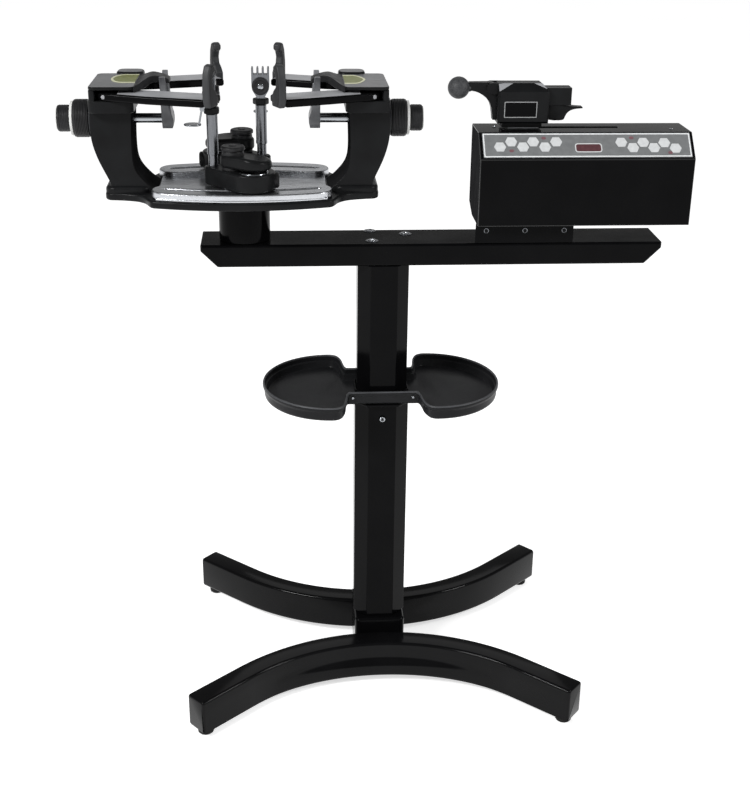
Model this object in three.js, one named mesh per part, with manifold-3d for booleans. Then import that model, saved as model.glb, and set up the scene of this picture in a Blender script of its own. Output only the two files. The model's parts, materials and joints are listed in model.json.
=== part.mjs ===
import * as THREE from "three";
import { mergeVertices } from "three/addons/utils/BufferGeometryUtils.js";
import Module from "manifold-3d";

// Racket stringing machine on a telescopic floor stand, in millimetres, +Z up.
// The origin is on the floor under the middle of the machine. The user stands on the -Y side,
// the turntable is on the -X side and the electronic tensioner on the +X side.

const wasm = await Module();
wasm.setup();

const degree = Math.PI / 180;

// Clearances and tool reach
const gap = 0.3; // between two pieces that touch
const overrun = 2; // how far a cutting tool runs past what it cuts
const mergeShare = 0.001; // of the gap: corners this close are one corner
const repeatShare = 0.01; // of the gap: outline points this close are one point

// How finely round shapes are divided
const roundSteps = 22;
const smallRoundSteps = 12;
const arcSteps = 10;
const outlineSteps = 4;
const profileSteps = 7;
const bevelSteps = 1;
const hexagonSides = 6;

// Legs and feet
const columnX = 10; // column axis, to the right of the middle of the machine
const footRadius = 13;
const footHeight = 16;
const footBevel = 2.2;
const footInset = 22; // foot axis back from the leg end
const legWidth = 32;
const legHeight = 50;
const legBendRadius = 330;
const legBendAngle = 42 * degree; // bend on each side of the middle
const legStraight = 106;
const legOffset = 68; // leg centre line to the column axis at the middle
const legEdge = 5;
const legFoldHeight = 22; // the rolled lower lip on the hollow side
const legFoldReach = 10;
const legFoldAngle = 34 * degree;
const legFoldEdge = 4;
const legFoldRootShare = 0.25; // of the leg's width, where the lip runs into it

// Column
const baseBlockHalfX = 41;
const baseBlockBottomZ = 22;
const baseBlockTopZ = 96;
const baseBlockCorner = 8;
const baseBlockEdge = 3;
const upperColumnWidth = 78;
const upperColumnChamfer = 19;
const upperColumnWall = 3;
const columnSlideGap = 0.3;
const lowerColumnWall = 2.7;
const columnAboveTray = 15; // lower column's top above the tray's underside
const columnOverlap = 236; // upper column inside the lower one
const trayFlangeReach = 8;
const trayFlangeThickness = 4;
const lockScrewDrop = 27; // below the tray
const lockScrewRadius = 4;
const lockScrewHeadRadius = 6.5;
const lockScrewHeadHeight = 6;
const lockSocketRadius = 3;
const lockSocketDepth = 3.5;

// Accessory tray
const trayFloorZ = 483;
const trayHeight = 22.5;
const trayWall = 2.5;
const trayFloorThickness = 2;
const trayReach = 186; // column axis to the outer end of a lobe
const trayLobeCentre = 80; // column axis to the widest point of a lobe
const trayLobeHalfDepth = 113;
const trayWaistHalfDepth = 52;
const trayNeckX = 50; // column axis to the inner side of a lobe

// Beam
const beamLeftX = -262;
const beamRightX = 428;
const beamBottomZ = 704;
const beamThickness = 34;
const beamHalfDepth = 41;
const beamEndChamfer = 24.5;
const beamEdge = 2.5;
const beamWall = 4;
const beamSlotLength = 150;
const beamSlotWidth = 24;
const beamSlotLeft = 110; // cable slots, from the column axis
const beamSlotRight = 220;

// Turntable post and spindle
const turntableX = -197;
const postRadius = 35;
const postEdge = 2;
const spindleRadius = 12;
const spindleLength = 42;

// Turntable base
const postHeight = 69; // beam to turntable, gaps included
const baseThickness = 11;
const baseHalfLength = 134; // half length of the wide middle part
const baseHalfDepth = 110;
const baseSideHalfDepth = 88;
const padNeck = 24; // from the plate's end to where the pad has its full width
const padReach = 61; // from the plate's end to the pad's outer end
const padHalfDepth = 42;
const padHeight = 9; // pad above the base plate
const padStart = 2; // from the plate's end to the raised pad
const padCorner = 12;
const baseEdge = 2;

// Slotted rails
const railHeight = 11; // rail's crest above the base plate
const railFloorThickness = 3;
const railPlateInset = 4;
const railRadius = 410;
const railOffset = 78; // rail centre line to the turntable axis at the middle
const railWidth = 54;
const railSetIn = 6; // rail's end from the plate's end
const railEdge = 1.5;
const railSlotWidth = 8;
const railSlotSetIn = 16; // slot's end from the rail's end

// Towers
const towerHalfDepth = 38;
const towerHeight = 124; // above the pads
const towerTopLength = 64; // from the tower's outer side inwards, at its top
const towerOverhang = 17; // tower's outer side past the pad
const towerWaistLength = 57; // and at its waist
const towerFootLength = 49;
const towerFootInset = 7; // from the pad's outer end
const towerEdge = 3;
const flangeHalfDepth = 58; // flange that carries the side arms' pivots
const flangeThickness = 13;
const flangeCorner = 12;
const flangeEdge = 3;
const ribOverhang = 2; // middle rib between the side arms, past the tower's top
const ribHalfWidth = 16;
const wallThickness = 8; // outer wall under the top plate
const wallInset = 4;
const wallHalfDepth = 32;
const sleeveDepth = 22; // bore for the knob's sleeve

// Top plates and nose supports
const topPlateThickness = 4.7;
const topPlateGapZ = 3.8; // free height above the side arms
const topPlateInset = 3; // from the tower's outer side
const topPlateHalfDepth = 60;
const topPlateCorner = 9;
const topPlateEdge = 1.2;
const noseHalfWidth = 14;
const noseRootThickness = 8;
const noseReach = 46; // inwards from the rib
const noseTipDrop = 3;
const noseRise = 8.5; // crest above the top plate
const noseThickness = 8;
const noseCrestReach = 20;
const noseEdge = 1.5;

// Side arms and claws
const armThickness = 11;
const armPivotInset = 34; // from the tower's outer side
const armPivotY = 42;
const armRootRadius = 20;
const armPinRadius = 4;
const armInnerMidReach = 56; // inwards from the pivot
const armInnerMidY = 34;
const armInnerEndY = 64;
const armOuterMidReach = 50;
const armOuterMidY = 86;
const armEndReach = 8; // arm's outer corner past the claw's middle
const rootArc = 150 * degree; // round part of the arm's root
const armPinDepth = 9; // pin below the arm
const armPinTop = 3; // pin above the top plate's underside
const armEdge = 2;
const clawThickness = 12;
const clawHeight = 58;
const clawOuterReach = 12;
const clawInnerReach = 14;
const clawY = 106;
const clawTurn = 25 * degree; // the claws face the racket's round head
const tipClawX = 39; // claws on the side of the racket's tip
const throatClawX = 55; // claws on the side of the racket's throat
const clawEdge = 2;

// Knobs and centre hooks
const shaftDrop = 34; // knob and hook axis below the tower's top
const hookShaftRadius = 7;
const knobSleeveRadius = 12;
const knobSleeveLength = 24;
const largeKnobRadius = 27;
const largeKnobLength = 22;
const largeKnobStandOff = 4;
const smallKnobRadius = 19;
const smallKnobLength = 19.5;
const smallKnobStandOff = 5.5;
const knobEdge = 1.5;
const hookScrewRadius = 4;
const hookScrewReach = 4; // spindle's inner end past the rib
const hookReach = 45; // hook's inner face inwards from the rib
const hookThickness = 12;
const hookHalfWidth = 24;
const hookDrop = 13; // yoke below the shaft's axis
const hookRise = 9.2; // above the top plates
const hookShaftRoom = 10; // free length behind the hook's shaft, for its travel
const hookBoreWall = 34; // from the hook's inner face to the end of its bore
const hookEdge = 1.2;

// String clamps
const clampPostX = -41;
const clampPostY = -35;
const clampPostRadius = 7;
const clampSocketRadius = 13;
const clampSocketDepth = 20;
const clampLobeX = 15;
const clampLobeY = -70;
const clampLobeRadius = 33;
const clampBaseHeight = 26;
const clampBaseEdge = 2;
const clampKeyDepth = 6;
const clampScrewRadius = 9;
const clampScrewReach = 5;
const clampLeverX = -12;
const clampLeverY = -58;
const clampHubRadius = 16;
const clampHubHeight = 27;
const clampDiscRadius = 19;
const clampDiscHeight = 6;
const clampPinRadius = 5;
const clampPinHeight = 16;
const clampWingRadius = 25;
const clampWingX = 18;
const clampWingY = -72;
const clampWingHeight = 17;
const clampWingLift = 3;
const clampPostDrop = 21; // round part of the post below the towers' top
const clampCollarRadius = 10;
const clampCollarHeight = 9;
const jawPlateHalfWidth = 13;
const jawPlateThickness = 6.5;
const jawHeight = 45; // above the collar
const jawToothHeight = 10;
const jawToothWidth = 3;
const jawToothCount = 4;
const jawSlit = 0.8; // between the two jaw plates, for the string
const jawDiscRadius = 12.5;
const jawDiscThickness = 4.5;
const jawDiscRise = 18; // above the collar
const jawCapRadius = 4;
const jawCapHeight = 2.5;
const jawPivotDrop = 2; // below the collar's top
const jawPivotY = 13;
const jawPinRadius = 1.6;
const jawPinHalfLength = 6.5;
const jawEarReach = 3.5;
const jawEarThickness = 3.5;
const jawBarThickness = 4;
const jawLeverWidth = 8;
const jawLeverDrop = 18;
const jawTabRadius = 9;
const jawTabReach = 17;
const jawTabThickness = 3;
const frontClampSlide = 0; // along its rail, as it stands
const rearClampSlide = 15;
const frontHeadTurn = -90 * degree;
const rearHeadTurn = 0;

// Tensioner housing
const consoleLeftX = 144.5;
const consoleLength = 315.5;
const consoleFrontY = -59;
const consoleDepth = 97;
const consoleHeight = 132.1;
const consoleSlopeDepth = 32; // the sloping panel, from the front wall back
const consoleSlopeDrop = 33.1; // and from the top down
const consoleRearChamferDepth = 33;
const consoleRearChamferRise = 14.4;
const consoleWall = 2.4;
const bracketHeight = 30.6; // beam to housing, gaps included
const bracketOverhang = 0.5; // past the housing's left end
const bracketLength = 147.5;
const bracketWall = 3;
const chassisThickness = 3;
const uprightThickness = 6;
const uprightSetIn = 15.5; // left upright from the housing's left end
const uprightSpacing = 206;
const uprightClearance = 34.7; // below the housing's top
const uprightHalfDepth = 26;
const uprightStep = 22; // height over which the uprights stay clear of the rear chamfer
const plateSetBack = 8; // from the housing's rear chamfer
const lipHeight = 22;
const lipThickness = 2;
const lipSetBack = 5; // from the front wall, room for the circuit board
const panelLength = 306;
const panelHeight = 41;
const panelThickness = 1;
const boardLength = 180;
const boardHeight = 62;
const boardThickness = 1.8;
const boardSetIn = 31.5; // from the housing's left end
const boardLift = 6;

// Linear drive
const driveSetBack = 30; // drive's middle plane from the housing's back
const rodDrop = 16; // rods below the uprights' top
const rodSpread = 18; // rod axes to the drive's middle plane
const rodRadius = 4;
const screwDrop = 24; // screw below the rods
const screwRadius = 5;
const motorRadius = 19;
const motorLength = 66;
const motorBoreDepth = 14;
const carriageSetIn = 47.5; // from the housing's left end, at rest
const carriageLength = 46;
const carriageFoot = 14; // below the screw's axis
const carriageCrown = 14; // above the rods' axes
const carriageHalfDepth = 24.5;
const neckHalfDepth = 6;
const slotClearance = 1;
const carriageTravel = 100;
const slotReserve = 20; // slot past the end of the travel

// Power inlet
const inletSetIn = 85.5; // from the housing's left end
const inletLength = 48;
const inletHeight = 22;
const inletRise = 18.4; // above the housing's underside
const inletDepth = 24;
const inletFlange = 3;
const inletFlangeThickness = 2;
const socketDepth = 16;
const socketWidth = 22;
const socketHeight = 16;
const socketSetIn = 13; // socket's middle from the inlet's left side
const rockerSetIn = 37;
const rockerWidth = 13;
const rockerHeight = 17;
const rockerDepth = 9;
const rockerClearance = 1;
const rockerPinRadius = 1.5;
const rockerPinReach = 1.5;
const rockerPinDepth = 5;
const rockerWaistShare = 0.5;
const rockerTilt = 8 * degree;
const rockerWellDepth = 14;
const rockerProud = 1.5;

// Tension head
const headOverhang = 18; // head's left face past the carriage
const headWidth = 75;
const headFootHeight = 7;
const headFootInset = 8;
const stringSlitWidth = 1.6;
const stringSlitDepth = 16;
const headHeight = 64;
const headLift = 2.3; // head above the housing
const headFrontReach = 22; // from the drive's middle plane
const headBackReach = 14;
const headFrontBevel = 11;
const headEdge = 3;
const headShoulder = 11;
const leverPinRadius = 4;
const leverHubRadius = 8;
const leverPinInset = 8.5; // lever pin to the head's left face
const leverHalfWidth = 7;
const leverEarThickness = 5;
const leverTipHalfWidth = 5;
const leverFootLift = 3;
const leverStudRadius = 4;
const leverStudLength = 11;
const ballReach = 57; // ball's middle to the head's left face
const ballDrop = 0.5; // ball's middle below the lever's pin
const ballRadius = 15.5;
const blockLength = 34;
const blockHeight = 25;
const blockHalfDepth = 12;
const blockDrop = 7; // block top below the head's top
const wingHubRadius = 12;
const wingHubInset = 14;
const wingHubHeight = 22;
const wingPinRadius = 3;
const wingTipReach = 53;
const wingTipThickness = 5;
const wingTipHalfWidth = 6;

// Places that follow from the sizes above, from the floor up
const legBottomZ = footHeight;
const legTopZ = legBottomZ + legHeight;
const lowerColumnInnerWidth = upperColumnWidth + 2 * columnSlideGap;
const lowerColumnWidth = lowerColumnInnerWidth + 2 * lowerColumnWall;
const lowerColumnTopZ = trayFloorZ + columnAboveTray;
const upperColumnBottomZ = lowerColumnTopZ - columnOverlap;
const lockScrewZ = trayFloorZ - lockScrewDrop;
const beamTopZ = beamBottomZ + beamThickness;
const baseBottomZ = beamTopZ + postHeight;
const baseTopZ = baseBottomZ + baseThickness;
const postTopZ = baseBottomZ - gap;
const padTopZ = baseTopZ + padHeight;
const railTopZ = baseTopZ + railHeight;
const towerTopZ = padTopZ + towerHeight;
const shaftZ = towerTopZ - shaftDrop;
const padStartX = baseHalfLength + padStart;
const padInnerX = baseHalfLength + padNeck;
const padOuterX = baseHalfLength + padReach;
const railHalfLength = baseHalfLength - railSetIn;
const railSlotHalfLength = railHalfLength - railSlotSetIn;
const towerOuterX = padOuterX + towerOverhang;
const towerTopInnerX = towerOuterX - towerTopLength;
const towerWaistInnerX = towerOuterX - towerWaistLength;
const towerFootOuterX = padOuterX - towerFootInset;
const towerFootInnerX = towerFootOuterX - towerFootLength;
const ribInnerX = towerTopInnerX - ribOverhang;
const wallOuterX = towerOuterX - wallInset;
const wallInnerX = wallOuterX - wallThickness;
const sleeveEndX = towerOuterX - sleeveDepth;
const topPlateInnerX = ribInnerX;
const topPlateOuterX = towerOuterX - topPlateInset;
const noseTipX = ribInnerX - noseReach;
const noseCrestX = ribInnerX - noseCrestReach;
const armPivotX = towerOuterX - armPivotInset;
const armInnerMidX = armPivotX - armInnerMidReach;
const armOuterMidX = armPivotX - armOuterMidReach;
const hookInnerX = ribInnerX - hookReach;
const hookScrewEndX = ribInnerX + hookScrewReach;
const hookShaftEndX = sleeveEndX - hookShaftRoom;
const hookBoreEndX = hookInnerX + hookBoreWall;
const armBottomZ = towerTopZ + gap;
const armTopZ = armBottomZ + armThickness;
const topPlateBottomZ = armTopZ + topPlateGapZ;
const topPlateTopZ = topPlateBottomZ + topPlateThickness;
const hookTopZ = topPlateTopZ + hookRise;
const largeKnobX = towerOuterX + largeKnobStandOff;
const smallKnobX = largeKnobX + largeKnobLength + smallKnobStandOff;
const clampBaseZ = railTopZ + gap;
const clampTopZ = clampBaseZ + clampBaseHeight;
const clampPostTopZ = towerTopZ - clampPostDrop;
const collarTopZ = clampPostTopZ + clampCollarHeight;
const jawTopZ = collarTopZ + jawHeight;
const jawDiscZ = collarTopZ + jawDiscRise;
const jawPivotZ = collarTopZ - jawPivotDrop;

// Places that follow in the tensioner
const consoleBackY = consoleFrontY + consoleDepth;
const consoleTopFrontY = consoleFrontY + consoleSlopeDepth;
const consoleRearChamferY = consoleBackY - consoleRearChamferDepth;
const consoleBottomZ = beamTopZ + bracketHeight;
const consoleTopZ = consoleBottomZ + consoleHeight;
const consoleFrontTopZ = consoleTopZ - consoleSlopeDrop;
const consoleRearChamferZ = consoleBottomZ + consoleRearChamferRise;
const bracketLeftX = consoleLeftX - bracketOverhang;
const bracketRightX = bracketLeftX + bracketLength;
const chassisTopZ = consoleBottomZ + chassisThickness;
const leftUprightX = consoleLeftX + uprightSetIn;
const rightUprightX = leftUprightX + uprightSpacing;
const uprightTopZ = consoleTopZ - uprightClearance;
const boardLeftX = consoleLeftX + boardSetIn;
const driveY = consoleBackY - driveSetBack;
const rodZ = uprightTopZ - rodDrop;
const screwZ = rodZ - screwDrop;
const carriageX = consoleLeftX + carriageSetIn;
const carriageBottomZ = screwZ - carriageFoot;
const carriageTopZ = rodZ + carriageCrown;
const inletX = consoleLeftX + inletSetIn;
const inletBottomZ = consoleBottomZ + inletRise;
const socketX = inletX + socketSetIn;
const rockerX = inletX + rockerSetIn;
const headLeftX = carriageX - headOverhang;
const headFrontY = driveY - headFrontReach;
const headBackY = driveY + headBackReach;
const headBottomZ = consoleTopZ + headLift;
const headTopZ = headBottomZ + headHeight;
const leverPinX = headLeftX - leverPinInset;
const leverPinZ = headTopZ - leverHubRadius;
const ballX = headLeftX - ballReach;
const ballZ = leverPinZ - ballDrop;

// Colours
const colours = {
  glossBlack: 0x0c0c0d,
  castBlack: 0x17181a,
  plasticBlack: 0x1b1b1c,
  rubberBlack: 0x111111,
  greyPlastic: 0x4a4b4e,
  silver: 0xc9cbce,
  chrome: 0xd8dadd,
  greyPaint: 0x6f7276,
  board: 0x1f5a37,
};

function finish(colour, roughness, metalness) {
  return new THREE.MeshStandardMaterial({ color: colour, roughness, metalness });
}

const finishes = {
  glossPaint: () => finish(colours.glossBlack, 0.2, 0.2),
  satinPaint: () => finish(colours.castBlack, 0.45, 0.2),
  plastic: () => finish(colours.plasticBlack, 0.5, 0),
  greyPlastic: () => finish(colours.greyPlastic, 0.5, 0),
  rubber: () => finish(colours.rubberBlack, 0.9, 0),
  aluminium: () => finish(colours.silver, 0.3, 1),
  chrome: () => finish(colours.chrome, 0.12, 1),
  panel: () => finish(colours.greyPaint, 0.5, 0),
  board: () => finish(colours.board, 0.6, 0),
};

// Joining and cutting of closed bodies

function toSolid(geometry) {
  const bare = geometry.clone();
  bare.deleteAttribute("normal");
  bare.deleteAttribute("uv");
  const merged = mergeVertices(bare, gap * mergeShare);
  const mesh = new wasm.Mesh({
    numProp: 3,
    vertProperties: new Float32Array(merged.attributes.position.array),
    triVerts: new Uint32Array(merged.index.array),
  });
  return new wasm.Manifold(mesh);
}

function toGeometry(solid) {
  const mesh = solid.getMesh();
  const geometry = new THREE.BufferGeometry();
  geometry.setAttribute("position", new THREE.BufferAttribute(new Float32Array(mesh.vertProperties), 3));
  geometry.setIndex(new THREE.BufferAttribute(new Uint32Array(mesh.triVerts), 1));
  geometry.computeVertexNormals();
  return geometry;
}

function join(...geometries) {
  return toGeometry(geometries.map(toSolid).reduce((all, next) => all.add(next)));
}

function keepInside(geometry, limit) {
  return toGeometry(toSolid(geometry).intersect(toSolid(limit)));
}

function cut(geometry, ...tools) {
  return toGeometry(tools.map(toSolid).reduce((rest, tool) => rest.subtract(tool), toSolid(geometry)));
}

// Basic shapes

function box(lowX, highX, lowY, highY, lowZ, highZ) {
  const geometry = new THREE.BoxGeometry(highX - lowX, highY - lowY, highZ - lowZ);
  return geometry.translate((lowX + highX) / 2, (lowY + highY) / 2, (lowZ + highZ) / 2);
}

function polygon(points) {
  return new THREE.Shape(points.map(([x, y]) => new THREE.Vector2(x, y)));
}

function bevelOptions(edge) {
  if (edge === 0) {
    return { bevelEnabled: false };
  }
  return {
    bevelEnabled: true,
    bevelSize: edge,
    bevelThickness: edge,
    bevelOffset: -edge,
    bevelSegments: bevelSteps,
  };
}

// A plan outline raised from lowZ to highZ, with its rims rounded by edge.
function raise(shape, lowZ, highZ, edge = 0) {
  const options = bevelOptions(edge);
  const depth = highZ - lowZ - 2 * edge;
  const geometry = new THREE.ExtrudeGeometry(shape, { depth, curveSegments: outlineSteps, ...options });
  return geometry.translate(0, 0, lowZ + edge);
}

// A front-view outline (x, z) drawn out from lowY to highY.
function drawAlongY(shape, lowY, highY, edge = 0) {
  const geometry = raise(shape, -highY, -lowY, edge);
  return geometry.rotateX(Math.PI / 2);
}

// A side-view outline (y, z) drawn out from lowX to highX.
function drawAlongX(shape, lowX, highX, edge = 0) {
  const geometry = raise(shape, lowX, highX, edge);
  const turn = new THREE.Matrix4().makeBasis(
    new THREE.Vector3(0, 1, 0),
    new THREE.Vector3(0, 0, 1),
    new THREE.Vector3(1, 0, 0),
  );
  return geometry.applyMatrix4(turn);
}

function upright(radius, x, y, lowZ, highZ, steps = roundSteps) {
  const geometry = new THREE.CylinderGeometry(radius, radius, highZ - lowZ, steps);
  return geometry.rotateX(Math.PI / 2).translate(x, y, (lowZ + highZ) / 2);
}

function lyingAlongX(radius, lowX, highX, y, z, steps = roundSteps) {
  const geometry = new THREE.CylinderGeometry(radius, radius, highX - lowX, steps);
  return geometry.rotateZ(Math.PI / 2).translate((lowX + highX) / 2, y, z);
}

function lyingAlongY(radius, lowY, highY, x, z, steps = roundSteps) {
  const geometry = new THREE.CylinderGeometry(radius, radius, highY - lowY, steps);
  return geometry.translate(x, (lowY + highY) / 2, z);
}

// A turned piece about an upright axis; profile points are (radius, z).
function turned(profile, x, y, steps = roundSteps) {
  const points = profile.map(([radius, z]) => new THREE.Vector2(radius, z));
  const geometry = new THREE.LatheGeometry(points, steps);
  return geometry.rotateX(Math.PI / 2).translate(x, y, 0);
}

// A turned piece about an axis along X; profile points are (radius, x).
function turnedAlongX(profile, y, z, steps = roundSteps) {
  const points = profile.map(([radius, x]) => new THREE.Vector2(radius, x));
  const geometry = new THREE.LatheGeometry(points, steps);
  return geometry.rotateZ(-Math.PI / 2).translate(0, y, z);
}

function octagon(width, chamfer) {
  const half = width / 2;
  const flat = half - chamfer;
  return [
    [half, -flat],
    [half, flat],
    [flat, half],
    [-flat, half],
    [-half, flat],
    [-half, -flat],
    [-flat, -half],
    [flat, -half],
  ];
}

// The chamfer that an octagon has after all its sides move out by the same distance.
function widenedChamfer(chamfer, distance) {
  return chamfer + distance * (2 - Math.SQRT2);
}

function ordered(first, second) {
  return [Math.min(first, second), Math.max(first, second)];
}

function shifted(points, x, y) {
  return points.map(([px, py]) => [px + x, py + y]);
}

function roundedRectangle(lowX, highX, lowY, highY, corner) {
  const shape = new THREE.Shape();
  shape.moveTo(lowX + corner, lowY);
  shape.lineTo(highX - corner, lowY);
  shape.absarc(highX - corner, lowY + corner, corner, -Math.PI / 2, 0);
  shape.lineTo(highX, highY - corner);
  shape.absarc(highX - corner, highY - corner, corner, 0, Math.PI / 2);
  shape.lineTo(lowX + corner, highY);
  shape.absarc(lowX + corner, highY - corner, corner, Math.PI / 2, Math.PI);
  shape.lineTo(lowX, lowY + corner);
  shape.absarc(lowX + corner, lowY + corner, corner, Math.PI, 1.5 * Math.PI);
  return shape;
}

// The outline of a belt laid round two circles.
function beltRound(x1, y1, r1, x2, y2, r2) {
  const heading = Math.atan2(y2 - y1, x2 - x1);
  const spread = Math.acos((r1 - r2) / Math.hypot(x2 - x1, y2 - y1));
  const shape = new THREE.Shape();
  shape.absarc(x1, y1, r1, heading + spread, heading - spread + 2 * Math.PI);
  shape.absarc(x2, y2, r2, heading - spread, heading + spread);
  return shape;
}

function smoothCurve(points, steps) {
  const curve = new THREE.SplineCurve(points.map(([x, y]) => new THREE.Vector2(x, y)));
  return curve.getPoints(steps).map((point) => [point.x, point.y]);
}

function part(name, geometry, material) {
  const mesh = new THREE.Mesh(geometry, material());
  mesh.name = name;
  return mesh;
}

// Stand

function legPlace(angle, along, across, side) {
  const radius = legBendRadius + across;
  const x = radius * Math.sin(angle) + along * Math.cos(angle);
  const rise = Math.abs(along) * Math.sin(Math.abs(angle));
  const y = legOffset + legBendRadius - radius * Math.cos(angle) + rise;
  return [columnX + x, side * y];
}

function legSidePoints(across, side) {
  const points = [legPlace(-legBendAngle, -legStraight, across, side)];
  for (let step = 0; step <= arcSteps; step += 1) {
    const angle = legBendAngle * ((2 * step) / arcSteps - 1);
    points.push(legPlace(angle, 0, across, side));
  }
  points.push(legPlace(legBendAngle, legStraight, across, side));
  return points;
}

// The lower half of the leg's hollow side swells out in a rolled lip that fades towards the ends.
function legFold(side) {
  const outer = [];
  const inner = [];
  for (let step = 0; step <= arcSteps; step += 1) {
    const share = (2 * step) / arcSteps - 1;
    const reach = legFoldReach * Math.cos((share * Math.PI) / 2);
    outer.push(legPlace(legFoldAngle * share, 0, -legWidth / 2 - reach, side));
    inner.push(legPlace(legFoldAngle * share, 0, -legWidth * legFoldRootShare, side));
  }
  const outline = polygon(outer.concat(inner.reverse()));
  return raise(outline, legBottomZ, legBottomZ + legFoldHeight, legFoldEdge);
}

function leg(name, side) {
  const outline = legSidePoints(legWidth / 2, side).concat(legSidePoints(-legWidth / 2, side).reverse());
  const bar = raise(polygon(outline), legBottomZ, legTopZ, legEdge);
  return part(name, join(bar, legFold(side)), finishes.glossPaint);
}

function foot(name, end, side) {
  const [x, y] = legPlace(end * legBendAngle, end * (legStraight - footInset), 0, side);
  const profile = [
    [0, 0],
    [footRadius - footBevel, 0],
    [footRadius, footBevel],
    [footRadius, footHeight - gap],
    [0, footHeight - gap],
  ];
  return part(name, turned(profile, x, y, smallRoundSteps), finishes.rubber);
}

function columnBase() {
  const halfY = legOffset - legWidth / 2 - gap;
  const leftX = columnX - baseBlockHalfX;
  const outline = roundedRectangle(leftX, columnX + baseBlockHalfX, -halfY, halfY, baseBlockCorner);
  return part(
    "column_base",
    raise(outline, baseBlockBottomZ, baseBlockTopZ, baseBlockEdge),
    finishes.glossPaint,
  );
}

function lowerColumn() {
  const innerChamfer = widenedChamfer(upperColumnChamfer, columnSlideGap);
  const outerChamfer = widenedChamfer(innerChamfer, lowerColumnWall);
  const flangeChamfer = widenedChamfer(outerChamfer, trayFlangeReach);
  const outer = polygon(shifted(octagon(lowerColumnWidth, outerChamfer), columnX, 0));
  const inner = polygon(shifted(octagon(lowerColumnInnerWidth, innerChamfer), columnX, 0));
  const flange = polygon(shifted(
    octagon(lowerColumnWidth + 2 * trayFlangeReach, flangeChamfer),
    columnX,
    0,
  ));
  const bottomZ = baseBlockTopZ + gap;
  const flangeTopZ = trayFloorZ - gap;
  const body = join(
    raise(outer, bottomZ, lowerColumnTopZ),
    raise(flange, flangeTopZ - trayFlangeThickness, flangeTopZ),
  );
  const bore = raise(inner, bottomZ - overrun, lowerColumnTopZ + overrun);
  const screwHole = lyingAlongY(
    lockScrewRadius + gap,
    -lowerColumnWidth,
    0,
    columnX,
    lockScrewZ,
    smallRoundSteps,
  );
  return part("lower_column", cut(body, bore, screwHole), finishes.glossPaint);
}

function lockScrew() {
  const faceY = -lowerColumnWidth / 2 - gap;
  const shank = lyingAlongY(
    lockScrewRadius,
    faceY - gap,
    -upperColumnWidth / 2 - gap,
    columnX,
    lockScrewZ,
    smallRoundSteps,
  );
  const head = lyingAlongY(
    lockScrewHeadRadius,
    faceY - lockScrewHeadHeight,
    faceY,
    columnX,
    lockScrewZ,
    smallRoundSteps,
  );
  const socket = lyingAlongY(
    lockSocketRadius,
    faceY - lockScrewHeadHeight - overrun,
    faceY - lockScrewHeadHeight + lockSocketDepth,
    columnX,
    lockScrewZ,
    hexagonSides,
  );
  return part("height_lock_screw", cut(join(head, shank), socket), finishes.chrome);
}

function upperColumn() {
  const wallChamfer = widenedChamfer(upperColumnChamfer, -upperColumnWall);
  const outer = polygon(shifted(octagon(upperColumnWidth, upperColumnChamfer), columnX, 0));
  const inner = polygon(shifted(octagon(upperColumnWidth - 2 * upperColumnWall, wallChamfer), columnX, 0));
  const tube = cut(
    raise(outer, upperColumnBottomZ, beamBottomZ - gap),
    raise(inner, upperColumnBottomZ - overrun, beamBottomZ + overrun),
  );
  return part("upper_column", tube, finishes.glossPaint);
}

// One quarter of the tray's outline, from the waist to the outer end of the lobe.
function trayQuarter(inset) {
  const points = [];
  const neckX = trayNeckX + inset;
  const waistY = trayWaistHalfDepth - inset;
  const lobeY = trayLobeHalfDepth - inset;
  const shoulderShares = [
    [0, 0],
    [0.12, 0.1],
    [0.2, 0.32],
    [0.28, 0.62],
    [0.48, 0.88],
    [0.75, 0.98],
  ];
  for (const [along, up] of shoulderShares) {
    points.push([neckX + along * (trayLobeCentre - neckX), waistY + up * (lobeY - waistY)]);
  }
  for (let step = 0; step <= arcSteps; step += 1) {
    const angle = ((1 - step / arcSteps) * Math.PI) / 2;
    const x = trayLobeCentre + (trayReach - inset - trayLobeCentre) * Math.cos(angle);
    points.push([x, lobeY * Math.sin(angle)]);
  }
  return points;
}

function trayOutline(inset) {
  const right = trayQuarter(inset);
  const lower = right.map(([x, y]) => [x, -y]).reverse();
  const rightSide = right.concat(lower.slice(1));
  const leftSide = rightSide.map(([x, y]) => [-x, -y]);
  return polygon(shifted(rightSide.concat(leftSide), columnX, 0));
}

function accessoryTray() {
  const columnChamfer = widenedChamfer(upperColumnChamfer, columnSlideGap + lowerColumnWall + gap);
  const opening = polygon(shifted(octagon(lowerColumnWidth + 2 * gap, columnChamfer), columnX, 0));
  const topZ = trayFloorZ + trayHeight;
  const tray = cut(
    raise(trayOutline(0), trayFloorZ, topZ),
    raise(trayOutline(trayWall), trayFloorZ + trayFloorThickness, topZ + overrun),
    raise(opening, trayFloorZ - overrun, topZ),
  );
  return part("accessory_tray", tray, finishes.plastic);
}

// Mast

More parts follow.
